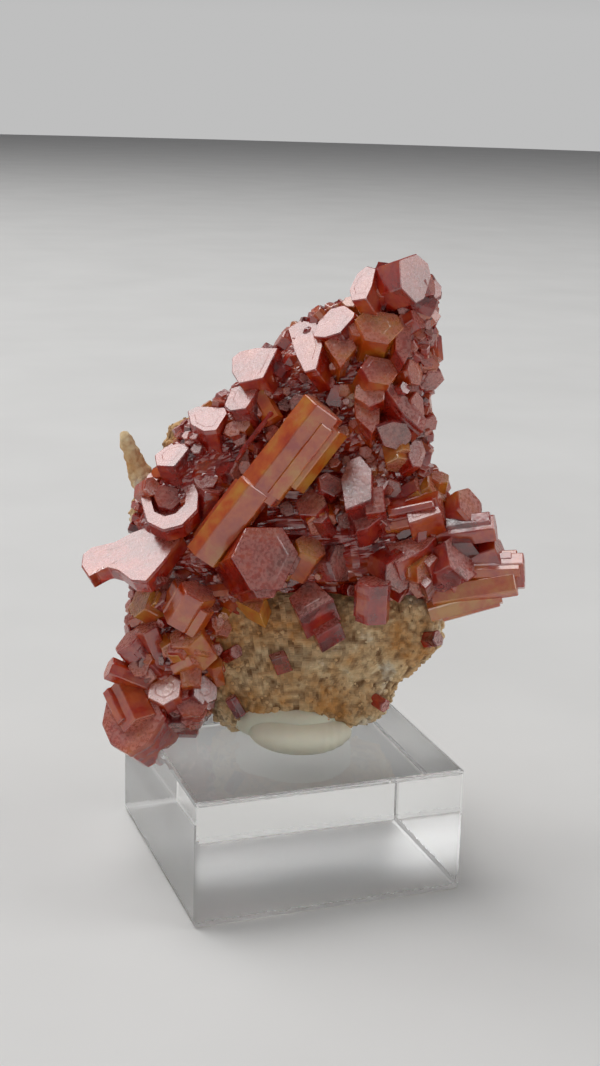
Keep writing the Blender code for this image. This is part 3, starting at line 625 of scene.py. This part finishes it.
class Shape:
    """Points and faces gathered from several stacks, with a tone and a cap value on each face."""

    def __init__(self):
        self.points, self.quads, self.triangles = [], [], []
        self.quad_values, self.triangle_values = [], []
        self.count = 0

    def add(self, rings, first, last, tone, cap_rows=0):
        """Add stacks of rings; tone is one number a body, and rows before cap_rows are its end face."""
        bodies, rows, columns = rings.shape[:3]
        points = stack_points(rings, first, last)
        quads, triangles = stack_faces(bodies, rows, columns)
        corners = np.concatenate([quads[:, :3], quads[:, [0, 2, 3]], triangles])
        centre = points.mean(axis=0)
        if signed_volume(points - centre, corners) < 0:
            quads, triangles = quads[:, ::-1], triangles[:, ::-1]
        tones = np.broadcast_to(np.asarray(tone, float), (bodies,))
        caps = (np.arange(rows - 1) < cap_rows).astype(float)
        quad_tones = np.broadcast_to(tones[:, None, None], (bodies, rows - 1, columns))
        quad_caps = np.broadcast_to(caps[None, :, None], (bodies, rows - 1, columns))
        fan_tones = np.broadcast_to(tones[:, None], (bodies, columns)).ravel()
        first_caps = np.full(bodies * columns, float(cap_rows > 0))
        self.points.append(points)
        self.quads.append(quads + self.count)
        self.triangles.append(triangles + self.count)
        self.quad_values.append(np.stack([quad_tones.ravel(), quad_caps.ravel()]))
        self.triangle_values.append(np.stack([np.tile(fan_tones, 2),
                                              np.concatenate([first_caps, np.zeros_like(first_caps)])]))
        self.count += len(points)

    def add_surface(self, grid, tone, tones=None, tip=None):
        """Add one closed surface from a grid of places. It closes at the middles of its first and last
        rings, or at a tip; tones, where given, are for its quads."""
        last = grid[-1].mean(axis=0) if tip is None else tip
        self.add(grid[None], grid[0].mean(axis=0)[None], last[None], tone)
        if tones is not None:
            self.quad_values[-1][0] = tones.ravel()

    def make(self, name, material, replaces=(), smooth=False):
        """The finished object, riding on the root body and standing for its CAD nodes."""
        points = np.concatenate(self.points)
        quads, triangles = np.concatenate(self.quads), np.concatenate(self.triangles)
        mesh = bpy.data.meshes.new(name)
        mesh.vertices.add(len(points))
        mesh.vertices.foreach_set("co", points.astype(np.float32).ravel())
        mesh.loops.add(quads.size + triangles.size)
        mesh.loops.foreach_set("vertex_index", np.concatenate([quads.ravel(), triangles.ravel()]))
        sizes = np.concatenate([np.full(len(quads), 4), np.full(len(triangles), 3)])
        mesh.polygons.add(len(sizes))
        mesh.polygons.foreach_set("loop_start", np.concatenate([[0], np.cumsum(sizes)[:-1]]))
        mesh.polygons.foreach_set("use_smooth", np.full(len(sizes), smooth))
        values = np.concatenate([np.concatenate(self.quad_values, axis=1),
                                 np.concatenate(self.triangle_values, axis=1)], axis=1)
        for attribute, numbers in zip(("tone", "cap"), values):
            mesh.attributes.new(attribute, "FLOAT", "FACE").data.foreach_set("value", numbers)
        mesh.update(calc_edges=True)
        mesh.validate()
        mesh.materials.append(material)
        item = bpy.data.objects.new(name, mesh)
        bpy.context.scene.collection.objects.link(item)
        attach(item, "root")
        if replaces:
            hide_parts(*replaces)


def crystal_frame(lean, tilt):
    """A crystal's axis, and its end face's two directions: along the lean, and to the right of that."""
    right, upward, outward = FACE
    lean, tilt = math.radians(lean), math.radians(tilt)
    heading = right * math.sin(lean) + upward * math.cos(lean)
    axis = heading * math.sin(tilt) + outward * math.cos(tilt)
    first = heading * math.cos(tilt) - outward * math.sin(tilt)
    second = right * math.cos(lean) - upward * math.sin(lean)
    return axis, first, second


def bevelled_outline(corners, bevel):
    """A closed outline read at stations along its edges: one each side of a corner, the rest spread out."""
    closed = np.vstack([corners, corners[:1]])
    steps = np.linalg.norm(np.diff(closed, axis=0), axis=1)
    along = np.concatenate([[0.0], np.cumsum(steps)])
    reach = np.minimum(bevel, BEVEL_LIMIT * np.minimum(steps, np.roll(steps, 1)))
    near = np.concatenate([(along[:-1] - reach) % along[-1], along[:-1] + reach])
    spare = RING_COLUMNS - len(near)
    spread = (np.arange(spare) + FIRST_STATION) * along[-1] / spare
    stations = np.sort(np.concatenate([near, spread]))
    return np.stack([np.interp(stations, along, closed[:, k]) for k in range(2)], axis=1)


def hexagon(radius, spin, wide, seed):
    """Corners of a hexagon whose sides keep their directions but lie at uneven distances: each corner is
    where two neighbouring sides cross."""
    rng = np.random.default_rng(seed)
    angles = np.radians(spin + 30 + 60 * np.arange(6))
    stretch = np.hypot(np.cos(angles), np.sin(angles) * wide)
    sides = radius * HALF_WIDTH * stretch * rng.uniform(*SIDE_SPREAD, 6)
    before, previous = np.roll(sides, 1), np.roll(angles, 1)
    x = (before * np.sin(angles) - sides * np.sin(previous)) / np.sin(angles - previous)
    y = (sides * np.cos(previous) - before * np.cos(angles)) / np.sin(angles - previous)
    return np.stack([x, y], axis=1)


def add_prism(shape, head, directions, corners, length, tone, seed, bevel, hollow=0.0):
    """One crystal: rings across its end face with a low terrace, over a bevel, and down its sides.

    A ring is the outline scaled by a share about the head and sunk along the axis. Down the sides the
    share strays by chance from ring to ring, so that they look grown in steps.
    """
    axis, first, second = directions
    outline = bevelled_outline(corners, bevel)
    rng = np.random.default_rng(seed)
    size = np.linalg.norm(outline, axis=1).mean()
    if hollow:
        terrace, inner = hollow, HOLLOW_SHARE
    else:
        terrace = rng.uniform(-TERRACE_STEP, TERRACE_STEP) * MM
        inner = rng.uniform(*TERRACE_SHARES)
    top = (CENTRE_SHARE, inner - TERRACE_SLOPE, inner, RIM_SHARE, 1 - bevel / size, 1)
    shares = np.array((*top, *[1] * len(SIDE_SHARES)))
    depths = np.array((terrace, terrace, 0, 0, 0, bevel, *(share * length for share in SIDE_SHARES)))
    on_sides = np.arange(len(shares)) >= len(top)
    wander = rng.normal(0, SIDE_STRAY, (len(shares), 1)) * on_sides[:, None]
    shift = rng.uniform(-MIDDLE_SHIFT, MIDDLE_SHIFT, 2) * size
    flat = outline[None] * (shares[:, None, None] + wander[..., None]) + shift * (1 - shares)[:, None, None]
    rings = head + flat[..., :1] * first + flat[..., 1:] * second - axis * depths[:, None, None]
    middle = head + first * shift[0] + second * shift[1] - axis * terrace
    foot = head - axis * (length + FOOT_POINT * MM)
    shape.add(rings[None], middle[None], foot[None], tone, cap_rows=END_FACE_ROWS)


def head_of(item):
    """The middle of a crystal's end face."""
    return on_face((item.across, item.up, item.out))


def add_crystal(shape, item, seed, bevel, hollow=0.0):
    """One crystal of the tables: a hexagonal one, or a plate with an outline of its own."""
    if isinstance(item, Crystal):
        corners = hexagon(item.radius * MM, item.spin, item.wide, seed)
    else:
        corners = np.array(item.corners) * MM
    directions = crystal_frame(item.lean, item.tilt)
    add_prism(shape, head_of(item), directions, corners, item.length * MM, item.tone, seed, bevel, hollow)


def add_neighbours(shape, crystal, seed, bevel):
    """Smaller crystals in parallel growth round a large one, their heads a little lower."""
    rng = np.random.default_rng(seed)
    directions = crystal_frame(crystal.lean, crystal.tilt)
    axis, first, second = directions
    for k in range(rng.integers(1, NEIGHBOUR_MOST + 1)):
        angle = rng.uniform(0, 2 * math.pi)
        reach = crystal.radius * rng.uniform(*NEIGHBOUR_REACH) * MM
        head = head_of(crystal) - axis * (rng.uniform(*NEIGHBOUR_SINK) * MM)
        head = head + (first * math.cos(angle) + second * math.sin(angle)) * reach
        corners = hexagon(crystal.radius * rng.uniform(*NEIGHBOUR_RADIUS) * MM, crystal.spin, 1.0, seed + k)
        tone = np.clip(crystal.tone + rng.normal(0, NEIGHBOUR_TONE_SPREAD), 0, 1)
        length = crystal.length * NEIGHBOUR_LENGTH * MM
        add_prism(shape, head, directions, corners, length, tone, seed + k, bevel)


def level_surface(levels, rows, columns):
    """A rounded-rectangle section carried up through levels: places for height by angle."""
    table = np.array(levels)
    heights = np.linspace(table[0, 0], table[-1, 0], rows)
    left, right, front, back = (np.interp(heights, table[:, 0], table[:, k])[:, None] for k in range(1, 5))
    angle = np.linspace(0, 2 * math.pi, columns, endpoint=False)[None]
    c, s = np.cos(angle), np.sin(angle)
    power = 2 / RING_SQUARENESS
    x = (left + right) / 2 + (right - left) / 2 * np.sign(c) * np.abs(c) ** power
    y = (front + back) / 2 + (front - back) / 2 * np.sign(s) * np.abs(s) ** power
    flat = x[..., None] * SECTION_ACROSS + y[..., None] * SECTION_TOWARDS
    return (flat + np.array((0, 0, 1)) * heights[:, None, None]) * MM + np.array((0, 0, BLOCK_TOP))


def grid_normals(grid):
    """Outward directions on a grid that closes round its columns."""
    along = np.gradient(grid, axis=0)
    around = np.roll(grid, -1, axis=1) - np.roll(grid, 1, axis=1)
    normals = unit(np.cross(around, along))
    outward = grid - grid.mean(axis=1, keepdims=True)
    return normals * np.sign(np.sum(normals * outward, axis=-1).mean())


def connect(tree, item, values):
    """Link a node's inputs to sockets, or set them to constants."""
    for socket, value in values.items():
        if isinstance(value, bpy.types.NodeSocket):
            tree.links.new(value, item.inputs[socket])
        else:
            item.inputs[socket].default_value = value


def add_node(tree, kind, values=None, **settings):
    """A shader node with its settings, and its inputs linked or set."""
    item = tree.nodes.new("ShaderNode" + kind)
    for key, value in settings.items():
        setattr(item, key, value)
    connect(tree, item, values or {})
    return item


def attribute(tree, name):
    """A number kept on the mesh's faces."""
    return add_node(tree, "Attribute", attribute_name=name).outputs["Fac"]


def noise(tree, where, kind):
    """Noise of a kind, from 0 to 1."""
    sockets = {"Vector": where, "Scale": kind.scale, "Detail": kind.detail, "Roughness": kind.roughness,
               "Distortion": kind.distortion}
    return add_node(tree, "TexNoise", sockets).outputs["Fac"]


def remap(tree, value, low, high, to_low=0.0, to_high=1.0):
    """A value's stretch from low to high, carried over to another stretch and clamped to it."""
    sockets = {"Value": value, "From Min": low, "From Max": high, "To Min": to_low, "To Max": to_high}
    return add_node(tree, "MapRange", sockets).outputs["Result"]


def combine(tree, operation, *values, clamp=False):
    """Values combined by a Math node."""
    return add_node(tree, "Math", dict(enumerate(values)), operation=operation, use_clamp=clamp).outputs[0]


def bump(tree, height, strength, distance, **more):
    """Bumps in the shading, their depth in metres."""
    sockets = {"Height": height, "Strength": strength, "Distance": distance, **more}
    return add_node(tree, "Bump", sockets).outputs["Normal"]


def ramp(tree, factor, stops):
    """A colour ramp's colour from stops of place and colour."""
    item = add_node(tree, "ValToRGB", {"Fac": factor})
    elements = item.color_ramp.elements
    while len(elements) < len(stops):
        elements.new(0.5)
    for element, (place, colour) in zip(elements, stops):
        element.position = place
        element.color = (*colour, 1.0)
    return item.outputs["Color"]


def mix_colour(tree, factor, first, second):
    """Two colours mixed by a factor."""
    item = tree.nodes.new("ShaderNodeMix")
    item.data_type = "RGBA"
    sockets = {s.identifier: s for s in item.inputs}
    for key, value in (("Factor_Float", factor), ("A_Color", first), ("B_Color", second)):
        if isinstance(value, bpy.types.NodeSocket):
            tree.links.new(value, sockets[key])
        else:
            sockets[key].default_value = (*value, 1.0)
    return next(s for s in item.outputs if s.identifier == "Result_Color")


def new_material(name):
    """An empty material: its tree, shader, and the object's own coordinates."""
    material = bpy.data.materials.new(name)
    material.use_nodes = True
    tree = material.node_tree
    where = tree.nodes.new("ShaderNodeTexCoord").outputs["Object"]
    return material, tree, tree.nodes["Principled BSDF"], where


def vanadinite_material(name, clearness, settings):
    """Translucent red crystal: tone by crystal, clouds inside, and a painted sheen on end faces, a pale pink
    mixed into their colour that stands in for the overhead softbox's reflection.
    """
    material, tree, shader, where = new_material(name)
    tone, cap = attribute(tree, "tone"), attribute(tree, "cap")
    clouds, fine = noise(tree, where, CRYSTAL_CLOUDS), noise(tree, where, CRYSTAL_SPECKS)
    clouded = combine(tree, "ADD", tone, remap(tree, clouds, *WIDE_STRETCH, *CLOUD_TONES), clamp=True)
    stops = zip(COLOUR_PLACES, (settings.deep, settings.red, settings.orange, settings.amber))
    colour = ramp(tree, clouded, tuple(stops))
    # Painted sheen: end faces' colour is mixed a noisy share of the way to pale pink, a painted reflection of
    # the overhead softbox
    painted_sheen = combine(tree, "MULTIPLY", remap(tree, fine, *NARROW_STRETCH, *PAINTED_SHEEN_SHARES), cap)
    rough = remap(tree, fine, *WIDE_STRETCH, *CRYSTAL_ROUGHNESS)
    grain = bump(tree, fine, *SPECK_BUMP)
    connect(tree, shader, {
        "Base Color": mix_colour(tree, painted_sheen, colour, settings.painted_sheen),
        "Roughness": combine(tree, "MULTIPLY_ADD", cap, END_FACE_ROUGHNESS, rough),
        "IOR": VANADINITE_IOR,
        "Transmission Weight": clearness,
        "Normal": bump(tree, clouds, *CLOUD_BUMP, Normal=grain),
    })
    return material


def rock_material(settings):
    """Granular host rock: cream grains, ochre stains and dark pits, by the relief kept in tone."""
    material, tree, shader, where = new_material("matrix_rock")
    stain, fine = noise(tree, where, ROCK_STAINS), noise(tree, where, ROCK_SPECKS)
    stained = mix_colour(tree, remap(tree, stain, *OCHRE_STRETCH), settings.cream, settings.ochre)
    paled = mix_colour(tree, remap(tree, stain, *PALE_STRETCH), stained, settings.pale)
    height = combine(tree, "MULTIPLY_ADD", fine, SPECKS_IN_DEPTH, attribute(tree, "tone"))
    depth = remap(tree, height, *DEPTH_STRETCH)
    connect(tree, shader, {
        "Base Color": mix_colour(tree, depth, settings.pit, paled),
        "Roughness": ROCK_ROUGHNESS,
        "Normal": bump(tree, fine, *ROCK_BUMP),
    })
    return material


def tack_material(settings):
    """Ivory putty with a faint waxy surface and fine creases."""
    material, tree, shader, where = new_material("white_tack")
    shaded = tuple(TACK_SHADE * c for c in settings.tack)
    stops = tuple(zip(WIDE_STRETCH, (shaded, settings.tack)))
    connect(tree, shader, {
        "Base Color": ramp(tree, noise(tree, where, TACK_SHADES), stops),
        "Roughness": TACK_ROUGHNESS,
        "Subsurface Weight": TACK_GLOW,
        "Subsurface Scale": TACK_GLOW_DEPTH * MM,
        "Normal": bump(tree, noise(tree, where, TACK_CREASES), *CREASE_BUMP),
    })
    return material


def acrylic_material(settings):
    """Clear acrylic: polished faces, and a frosted sawn strip along the bottom edges."""
    material, tree, shader, where = new_material("clear_acrylic")
    height = add_node(tree, "SeparateXYZ", {0: where}).outputs["Z"]
    edge = settings.saw_edge
    ragged = combine(tree, "MULTIPLY_ADD", noise(tree, where, SAW_TEETH), -edge, height)
    frost = (edge * share for share in FROST_SHARES)
    connect(tree, shader, {
        "Base Color": (*settings.acrylic, 1.0),
        "Roughness": remap(tree, ragged, *frost, *ACRYLIC_ROUGHNESS),
        "IOR": ACRYLIC_IOR,
        "Transmission Weight": 1.0,
    })
    return material


class SPECIMEN_OT_block(bpy.types.Operator):
    """Finish the clear acrylic block"""

    bl_idname = "specimen.block"
    bl_label = "Acrylic Block"

    def execute(self, context):
        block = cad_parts["acrylic_block"]
        block.data.materials.clear()
        block.data.materials.append(acrylic_material(context.scene.specimen_holder))
        return {"FINISHED"}


class SPECIMEN_OT_tack(bpy.types.Operator):
    """Press the mineral tack between the block and the rock"""

    bl_idname = "specimen.tack"
    bl_label = "Mineral Tack"

    def execute(self, context):
        """Each lobe is a flattened ball with boxy sides, pushed in and out by dents and ridges."""
        shape = Shape()
        polar = np.linspace(0, math.pi, TACK_ROWS + 2)[1:-1, None, None]
        angle = ring_angles(TACK_COLUMNS)[None, :, None]
        for number, (across, towards, height, wide, deep, tall) in enumerate(TACK_LOBES):
            centre = (SECTION_ACROSS * across + SECTION_TOWARDS * towards) * MM
            centre = centre + np.array((0, 0, BLOCK_TOP + height * MM))
            flat = SECTION_ACROSS * np.cos(angle) * wide + SECTION_TOWARDS * np.sin(angle) * deep
            lift = np.array((0, 0, tall))
            rings = centre + (flat * np.sin(polar) ** TACK_SIDES - lift * np.cos(polar)) * MM
            outward, right = unit(rings - centre), rings @ SECTION_ACROSS
            dents = soft_noise(rings, TACK_DENTS.cell * MM, TACK_DENTS.seed + number) - TACK_DENTS.level
            ridges = np.sin(right / (TACK_RIDGE_SIZE * MM)) * (right > TACK_RIDGES_FROM * MM)
            push = dents * TACK_DENT_DEPTH * MM + ridges * TACK_RIDGE_DEPTH * MM
            rings = rings + outward * push[..., None]
            rings[..., 2] = np.maximum(rings[..., 2], BLOCK_TOP + TACK_GAP * MM)
            shape.add_surface(rings, 0.5)
        shape.make("tack_lump", tack_material(context.scene.specimen_holder),
                   replaces=("mineral_tack",), smooth=True)
        return {"FINISHED"}


class SPECIMEN_OT_rock(bpy.types.Operator):
    """Build the granular host rock with its finger and grains"""

    bl_idname = "specimen.rock"
    bl_label = "Host Rock"

    def execute(self, context):
        """The rock is its level surface, pushed out by lumps and grain, which also set its tone."""
        settings = context.scene.specimen_rock
        material = rock_material(settings)
        grid = level_surface(ROCK_LEVELS, ROCK_ROWS, ROCK_COLUMNS)
        normals = grid_normals(grid)
        lumps, grain = bulges(grid, ROCK_LUMPS), bulges(grid, ROCK_GRAIN)
        fine = soft_noise(grid, ROCK_FINE.cell * MM, ROCK_FINE.seed) - ROCK_FINE.level
        relief = lumps * settings.lump + grain * settings.grain + fine * ROCK_FINE_DEPTH * MM
        grid = grid + normals * relief[..., None]
        tones = ROCK_TONE + grain * GRAIN_IN_TONE + fine * FINE_IN_TONE + lumps * LUMPS_IN_TONE
        tones = np.clip(tones, 0, 1)
        shape = Shape()
        shape.add_surface(grid, 0.5, tones=(tones[:-1] + tones[1:]) / 2)
        self.add_finger(shape)
        shape.make("rock_body", material, replaces=("matrix",))
        self.add_grains(settings, grid, normals, material)
        return {"FINISHED"}

    def add_finger(self, shape):
        """A knobbly rod: rings along the line from root to tip, swollen by cell noise."""
        root, tip = on_face(FINGER_ROOT), on_face(FINGER_TIP)
        way = unit(tip - root)
        side = unit(np.cross(way, FACE[2]))
        other = np.cross(way, side)
        t = np.linspace(*FINGER_SPAN, FINGER_ROWS)[:, None, None]
        angle = ring_angles(FINGER_COLUMNS)[None, :, None]
        taper = np.sqrt(np.clip(1 - np.abs(t) ** FINGER_BLUNTNESS, 0, 1))
        swell = 1 - FINGER_SWELL + FINGER_SWELL * np.sin(FINGER_SWELLS * t)
        spoke = side * np.cos(angle) + other * np.sin(angle)
        rings = root + way * t * np.linalg.norm(tip - root) + spoke * (FINGER_RADIUS * MM * taper * swell)
        rings = rings + spoke * bulges(rings, FINGER_BUMPS)[..., None] * FINGER_BUMP_DEPTH * MM
        shape.add_surface(rings, FINGER_TONE, tip=tip)

    def add_grains(self, settings, grid, normals, material):
        """Loose grains: small lumpy stacks of three rings, set in the rock's surface by chance."""
        rng = np.random.default_rng(GRAIN_SEED)
        count = settings.grain_count
        row = (rng.uniform(0, 1, count) ** GRAIN_CROWDING * (ROCK_ROWS - 3)).astype(int) + 1
        column = rng.integers(0, ROCK_COLUMNS, count)
        place, normal = grid[row, column], normals[row, column]
        size = rng.lognormal(math.log(GRAIN_SIZE), GRAIN_SPREAD, count) * MM
        side = unit(np.cross(unit(rng.normal(size=(count, 3))), normal))
        other = np.cross(normal, side)
        spoke = spokes(side, other, ring_angles(GRAIN_COLUMNS))
        rough = rng.uniform(*GRAIN_ROUGHNESS, (count, len(GRAIN_LEVELS), GRAIN_COLUMNS, 1))
        level, width = np.array(GRAIN_LEVELS)[:, None, None], np.array(GRAIN_WIDTHS)[:, None, None]
        rings = place[:, None, None] + size[:, None, None, None] * (
            spoke[:, None] * width * rough + normal[:, None, None] * level)
        ends = [place + normal * (size * k)[:, None] for k in GRAIN_ENDS]
        shape = Shape()
        shape.add(rings, *ends, rng.uniform(*GRAIN_TONES, count))
        shape.make("rock_grains", material)


class SPECIMEN_OT_crust(bpy.types.Operator):
    """Grow the crust: its bed, the large crystals and the small ones between them"""

    bl_idname = "specimen.crust"
    bl_label = "Crystal Crust"

    def execute(self, context):
        settings = context.scene.specimen_crystals
        material = vanadinite_material("vanadinite", CRUST_CLEARNESS, settings)
        makers = {"crust_bed": self.add_bed, "crust_crystals": self.add_prisms, "crust_druse": self.add_druse}
        for name, maker in makers.items():
            shape = Shape()
            maker(shape, settings)
            shape.make(name, material, replaces=("crystal_crust",))
        return {"FINISHED"}

    def add_bed(self, shape, settings):
        """The beds: their level surfaces, roughened by cell noise."""
        for bed in BEDS:
            grid = level_surface(bed.levels, bed.rows, BED_COLUMNS)
            normals = grid_normals(grid)
            relief = bulges(grid, BED_LUMPS, bed.seed) * BED_LUMP_DEPTH * MM
            relief = relief + bulges(grid, BED_GRAIN, bed.seed) * BED_GRAIN_DEPTH * MM
            grid = grid + normals * relief[..., None]
            clouds = soft_noise(grid, BED_CLOUDS.cell * MM, bed.seed + BED_CLOUDS.seed)[:-1]
            shape.add_surface(grid, 0.1, tones=BED_CLOUDS.level + BED_CLOUD_DEPTH * clouds)

    def add_prisms(self, shape, settings):
        """The large crystals, with smaller ones in parallel growth beside them."""
        for number, crystal in enumerate(CRYSTALS):
            add_crystal(shape, crystal, CRYSTAL_SEED + number, settings.bevel)
            if crystal.radius > NEIGHBOUR_FROM:
                seed = NEIGHBOUR_SEED + NEIGHBOUR_SEED_STEP * number
                add_neighbours(shape, crystal, seed, settings.bevel)
        for number, plate in enumerate(PLATES):
            add_crystal(shape, plate, PLATE_SEED + number, settings.bevel)
        add_crystal(shape, HOLLOW_PLATE, HOLLOW_PLATE_SEED, settings.bevel, hollow=HOLLOW_DEPTH * MM)

    def add_druse(self, shape, settings):
        """Small crystals by chance on the beds: short hexagonal stacks whose axes spread about the surface's
        own direction, left out where they would stand in front of a large crystal's end face."""
        rng = np.random.default_rng(DRUSE_SEED)
        rows, columns = DRUSE_GRID
        places, normals = [], []
        for bed in BEDS:
            grid = level_surface(bed.levels, rows, columns)
            count = int(settings.druse_count * bed.druse_share)
            row, column = rng.integers(0, rows, count), rng.integers(0, columns, count)
            places.append(grid[row, column])
            normals.append(grid_normals(grid)[row, column])
        places, normals = np.concatenate(places), np.concatenate(normals)
        count = len(places)
        axis = unit(normals + rng.normal(0, DRUSE_AXIS_SPREAD, (count, 3)) + np.array(DRUSE_AXIS_DRIFT))
        radius = rng.lognormal(0.0, DRUSE_RADIUS_SPREAD, count) * settings.druse_radius
        head = places + normals * (rng.uniform(*DRUSE_STANDING, count) * MM)[:, None]
        keep = self.clear_of_faces(head)
        axis, radius, head = axis[keep], radius[keep], head[keep]
        count = len(head)
        first = unit(np.cross(axis, rng.normal(size=(count, 3))))
        second = np.cross(axis, first)
        spoke = spokes(first, second, np.radians(60 * np.arange(DRUSE_COLUMNS)))
        spoke = spoke * rng.uniform(*DRUSE_SIDE_SPREAD, (count, DRUSE_COLUMNS, 1))
        reach = radius[:, None, None, None] * np.array(DRUSE_SHARES)[:, None, None]
        rings = head[:, None, None] + spoke[:, None] * reach
        rings = rings - axis[:, None, None] * (radius[:, None] * np.array(DRUSE_DEPTHS))[..., None, None]
        foot = head - axis * (radius * DRUSE_FOOT)[:, None]
        tones = np.clip(rng.normal(DRUSE_TONE, DRUSE_TONE_SPREAD, count), 0, 1)
        shape.add(rings, head, foot, tones, cap_rows=1)

    def clear_of_faces(self, heads):
        """Which heads stay behind every large crystal's end face."""
        keep = np.ones(len(heads), bool)
        for item in (*CRYSTALS, *PLATES, HOLLOW_PLATE):
            axis = crystal_frame(item.lean, item.tilt)[0]
            reach = item.radius if isinstance(item, Crystal) else np.linalg.norm(item.corners, axis=1).mean()
            offset = heads - head_of(item)
            above = offset @ axis
            beside = np.linalg.norm(offset - above[:, None] * axis, axis=1)
            keep &= ~((beside < reach * CLEAR_SHARE * MM) & (above > -CLEAR_DEPTH * MM))
        return keep


class SPECIMEN_OT_lone(bpy.types.Operator):
    """Set the crystals that stand alone on the bare rock"""

    bl_idname = "specimen.lone"
    bl_label = "Lone Crystals"

    def execute(self, context):
        settings = context.scene.specimen_crystals
        material = vanadinite_material("vanadinite_single", LONE_CLEARNESS, settings)
        for (node, items), seed in zip(LONE.items(), LONE_SEEDS):
            shape = Shape()
            for step, item in enumerate(items):
                add_crystal(shape, item, seed + step, settings.bevel)
            shape.make(node.replace("crystal_", "lone_"), material, replaces=(node,))
        return {"FINISHED"}


class SPECIMEN_OT_stage(bpy.types.Operator):
    """Lay the floor, hang the soft lights and place the camera"""

    bl_idname = "specimen.stage"
    bl_label = "Studio"

    def execute(self, context):
        settings = context.scene.specimen_studio
        self.add_floor(settings)
        for name, (place, size, share) in LIGHTS.items():
            self.add_light(name, place, size, share * settings.key_power)
        self.add_world(context)
        self.add_camera(context)
        context.scene.view_settings.view_transform = "Standard"
        return {"FINISHED"}

    def add_floor(self, settings):
        """A round floor just under the block: flat rings about its middle."""
        angle = ring_angles(FLOOR_COLUMNS)
        circle = np.stack([np.cos(angle), np.sin(angle), np.zeros(FLOOR_COLUMNS)], axis=1)
        grid = np.array(FLOOR_RINGS)[:, None, None] * settings.floor_radius * circle
        points = np.concatenate([grid.reshape(-1, 3), [(0, 0, 0)]]) - np.array((0, 0, FLOOR_GAP * MM))
        quads, fans = stack_faces(1, len(FLOOR_RINGS), FLOOR_COLUMNS)
        mesh = bpy.data.meshes.new("studio_floor")
        faces = [*quads[:, ::-1].tolist(), *fans[:FLOOR_COLUMNS, ::-1].tolist()]
        mesh.from_pydata(points.tolist(), [], faces)
        material, tree, shader, where = new_material("studio_floor")
        mottle = ramp(tree, noise(tree, where, FLOOR_MOTTLE), FLOOR_COLOURS)
        connect(tree, shader, {"Base Color": mottle, "Roughness": FLOOR_ROUGHNESS})
        mesh.materials.append(material)
        floor = bpy.data.objects.new("studio_floor", mesh)
        bpy.context.scene.collection.objects.link(floor)

    def add_light(self, name, place, size, power):
        """A square soft light that looks at the specimen."""
        lamp = bpy.data.lights.new(name, "AREA")
        lamp.shape = "SQUARE"
        lamp.size = size
        lamp.energy = power
        item = bpy.data.objects.new(name, lamp)
        item.location = place
        item.rotation_euler = (Vector(LIGHT_TARGET) - Vector(place)).to_track_quat("-Z", "Y").to_euler()
        bpy.context.scene.collection.objects.link(item)

    def add_world(self, context):
        """A dim studio, paler below the horizon and a little above it."""
        world = bpy.data.worlds.new("studio")
        world.use_nodes = True
        tree = world.node_tree
        way = add_node(tree, "TexCoord").outputs["Generated"]
        height = add_node(tree, "SeparateXYZ", {0: way}).outputs["Z"]
        sky = ramp(tree, remap(tree, height, *SKY_FADE), SKY_COLOURS)
        connect(tree, tree.nodes["Background"], {"Color": sky})
        context.scene.world = world

    def add_camera(self, context):
        """The camera, from its place and its three turns."""
        yaw, pitch, roll = (math.radians(a) for a in (CAMERA_YAW, CAMERA_PITCH, CAMERA_ROLL))
        ahead = Vector((math.sin(yaw) * math.cos(pitch), math.cos(yaw) * math.cos(pitch), -math.sin(pitch)))
        level = Vector((math.cos(yaw), -math.sin(yaw), 0.0))
        down = ahead.cross(level)
        right = math.cos(roll) * level - math.sin(roll) * down
        up = -(math.sin(roll) * level + math.cos(roll) * down)
        turn = Matrix((right, up, -ahead)).transposed().to_4x4()
        lens = bpy.data.cameras.new("camera")
        lens.lens = CAMERA_LENS
        lens.clip_start, lens.clip_end = CAMERA_CLIP
        camera = bpy.data.objects.new("camera", lens)
        camera.matrix_world = Matrix.Translation(Vector(CAMERA_PLACE) * MM) @ turn
        context.scene.collection.objects.link(camera)
        context.scene.camera = camera


class SPECIMEN_PT_panel(bpy.types.Panel):
    """Builds the specimen piece by piece"""

    bl_idname = "SPECIMEN_PT_panel"
    bl_label = "Vanadinite Specimen"
    bl_space_type = "VIEW_3D"
    bl_region_type = "UI"
    bl_category = "Specimen"

    def draw(self, context):
        for operator in OPERATORS:
            self.layout.operator(operator.bl_idname)
        for group, name in GROUPS.items():
            settings = getattr(context.scene, name)
            for key in group.__annotations__:
                self.layout.prop(settings, key)


OPERATORS = (SPECIMEN_OT_block, SPECIMEN_OT_tack, SPECIMEN_OT_rock, SPECIMEN_OT_crust, SPECIMEN_OT_lone,
             SPECIMEN_OT_stage)
GROUPS = {
    CrystalSettings: "specimen_crystals",
    RockSettings: "specimen_rock",
    HolderSettings: "specimen_holder",
    StudioSettings: "specimen_studio",
}


def register():
    for item in (*GROUPS, *OPERATORS, SPECIMEN_PT_panel):
        bpy.utils.register_class(item)
    for group, name in GROUPS.items():
        setattr(bpy.types.Scene, name, bpy.props.PointerProperty(type=group))


def unregister():
    for name in GROUPS.values():
        delattr(bpy.types.Scene, name)
    for item in reversed((*GROUPS, *OPERATORS, SPECIMEN_PT_panel)):
        bpy.utils.unregister_class(item)


def clear_scene():
    """Remove what a new file starts with, and nothing of the frame."""
    for name in ("Cube", "Light", "Camera"):
        item = bpy.data.objects.get(name)
        if item is not None:
            bpy.data.objects.remove(item, do_unlink=True)


def main():
    clear_scene()
    register()
    bpy.ops.specimen.stage()
    bpy.ops.specimen.block()
    bpy.ops.specimen.tack()
    bpy.ops.specimen.rock()
    bpy.ops.specimen.crust()
    bpy.ops.specimen.lone()


if __name__ == "__main__":
    main()
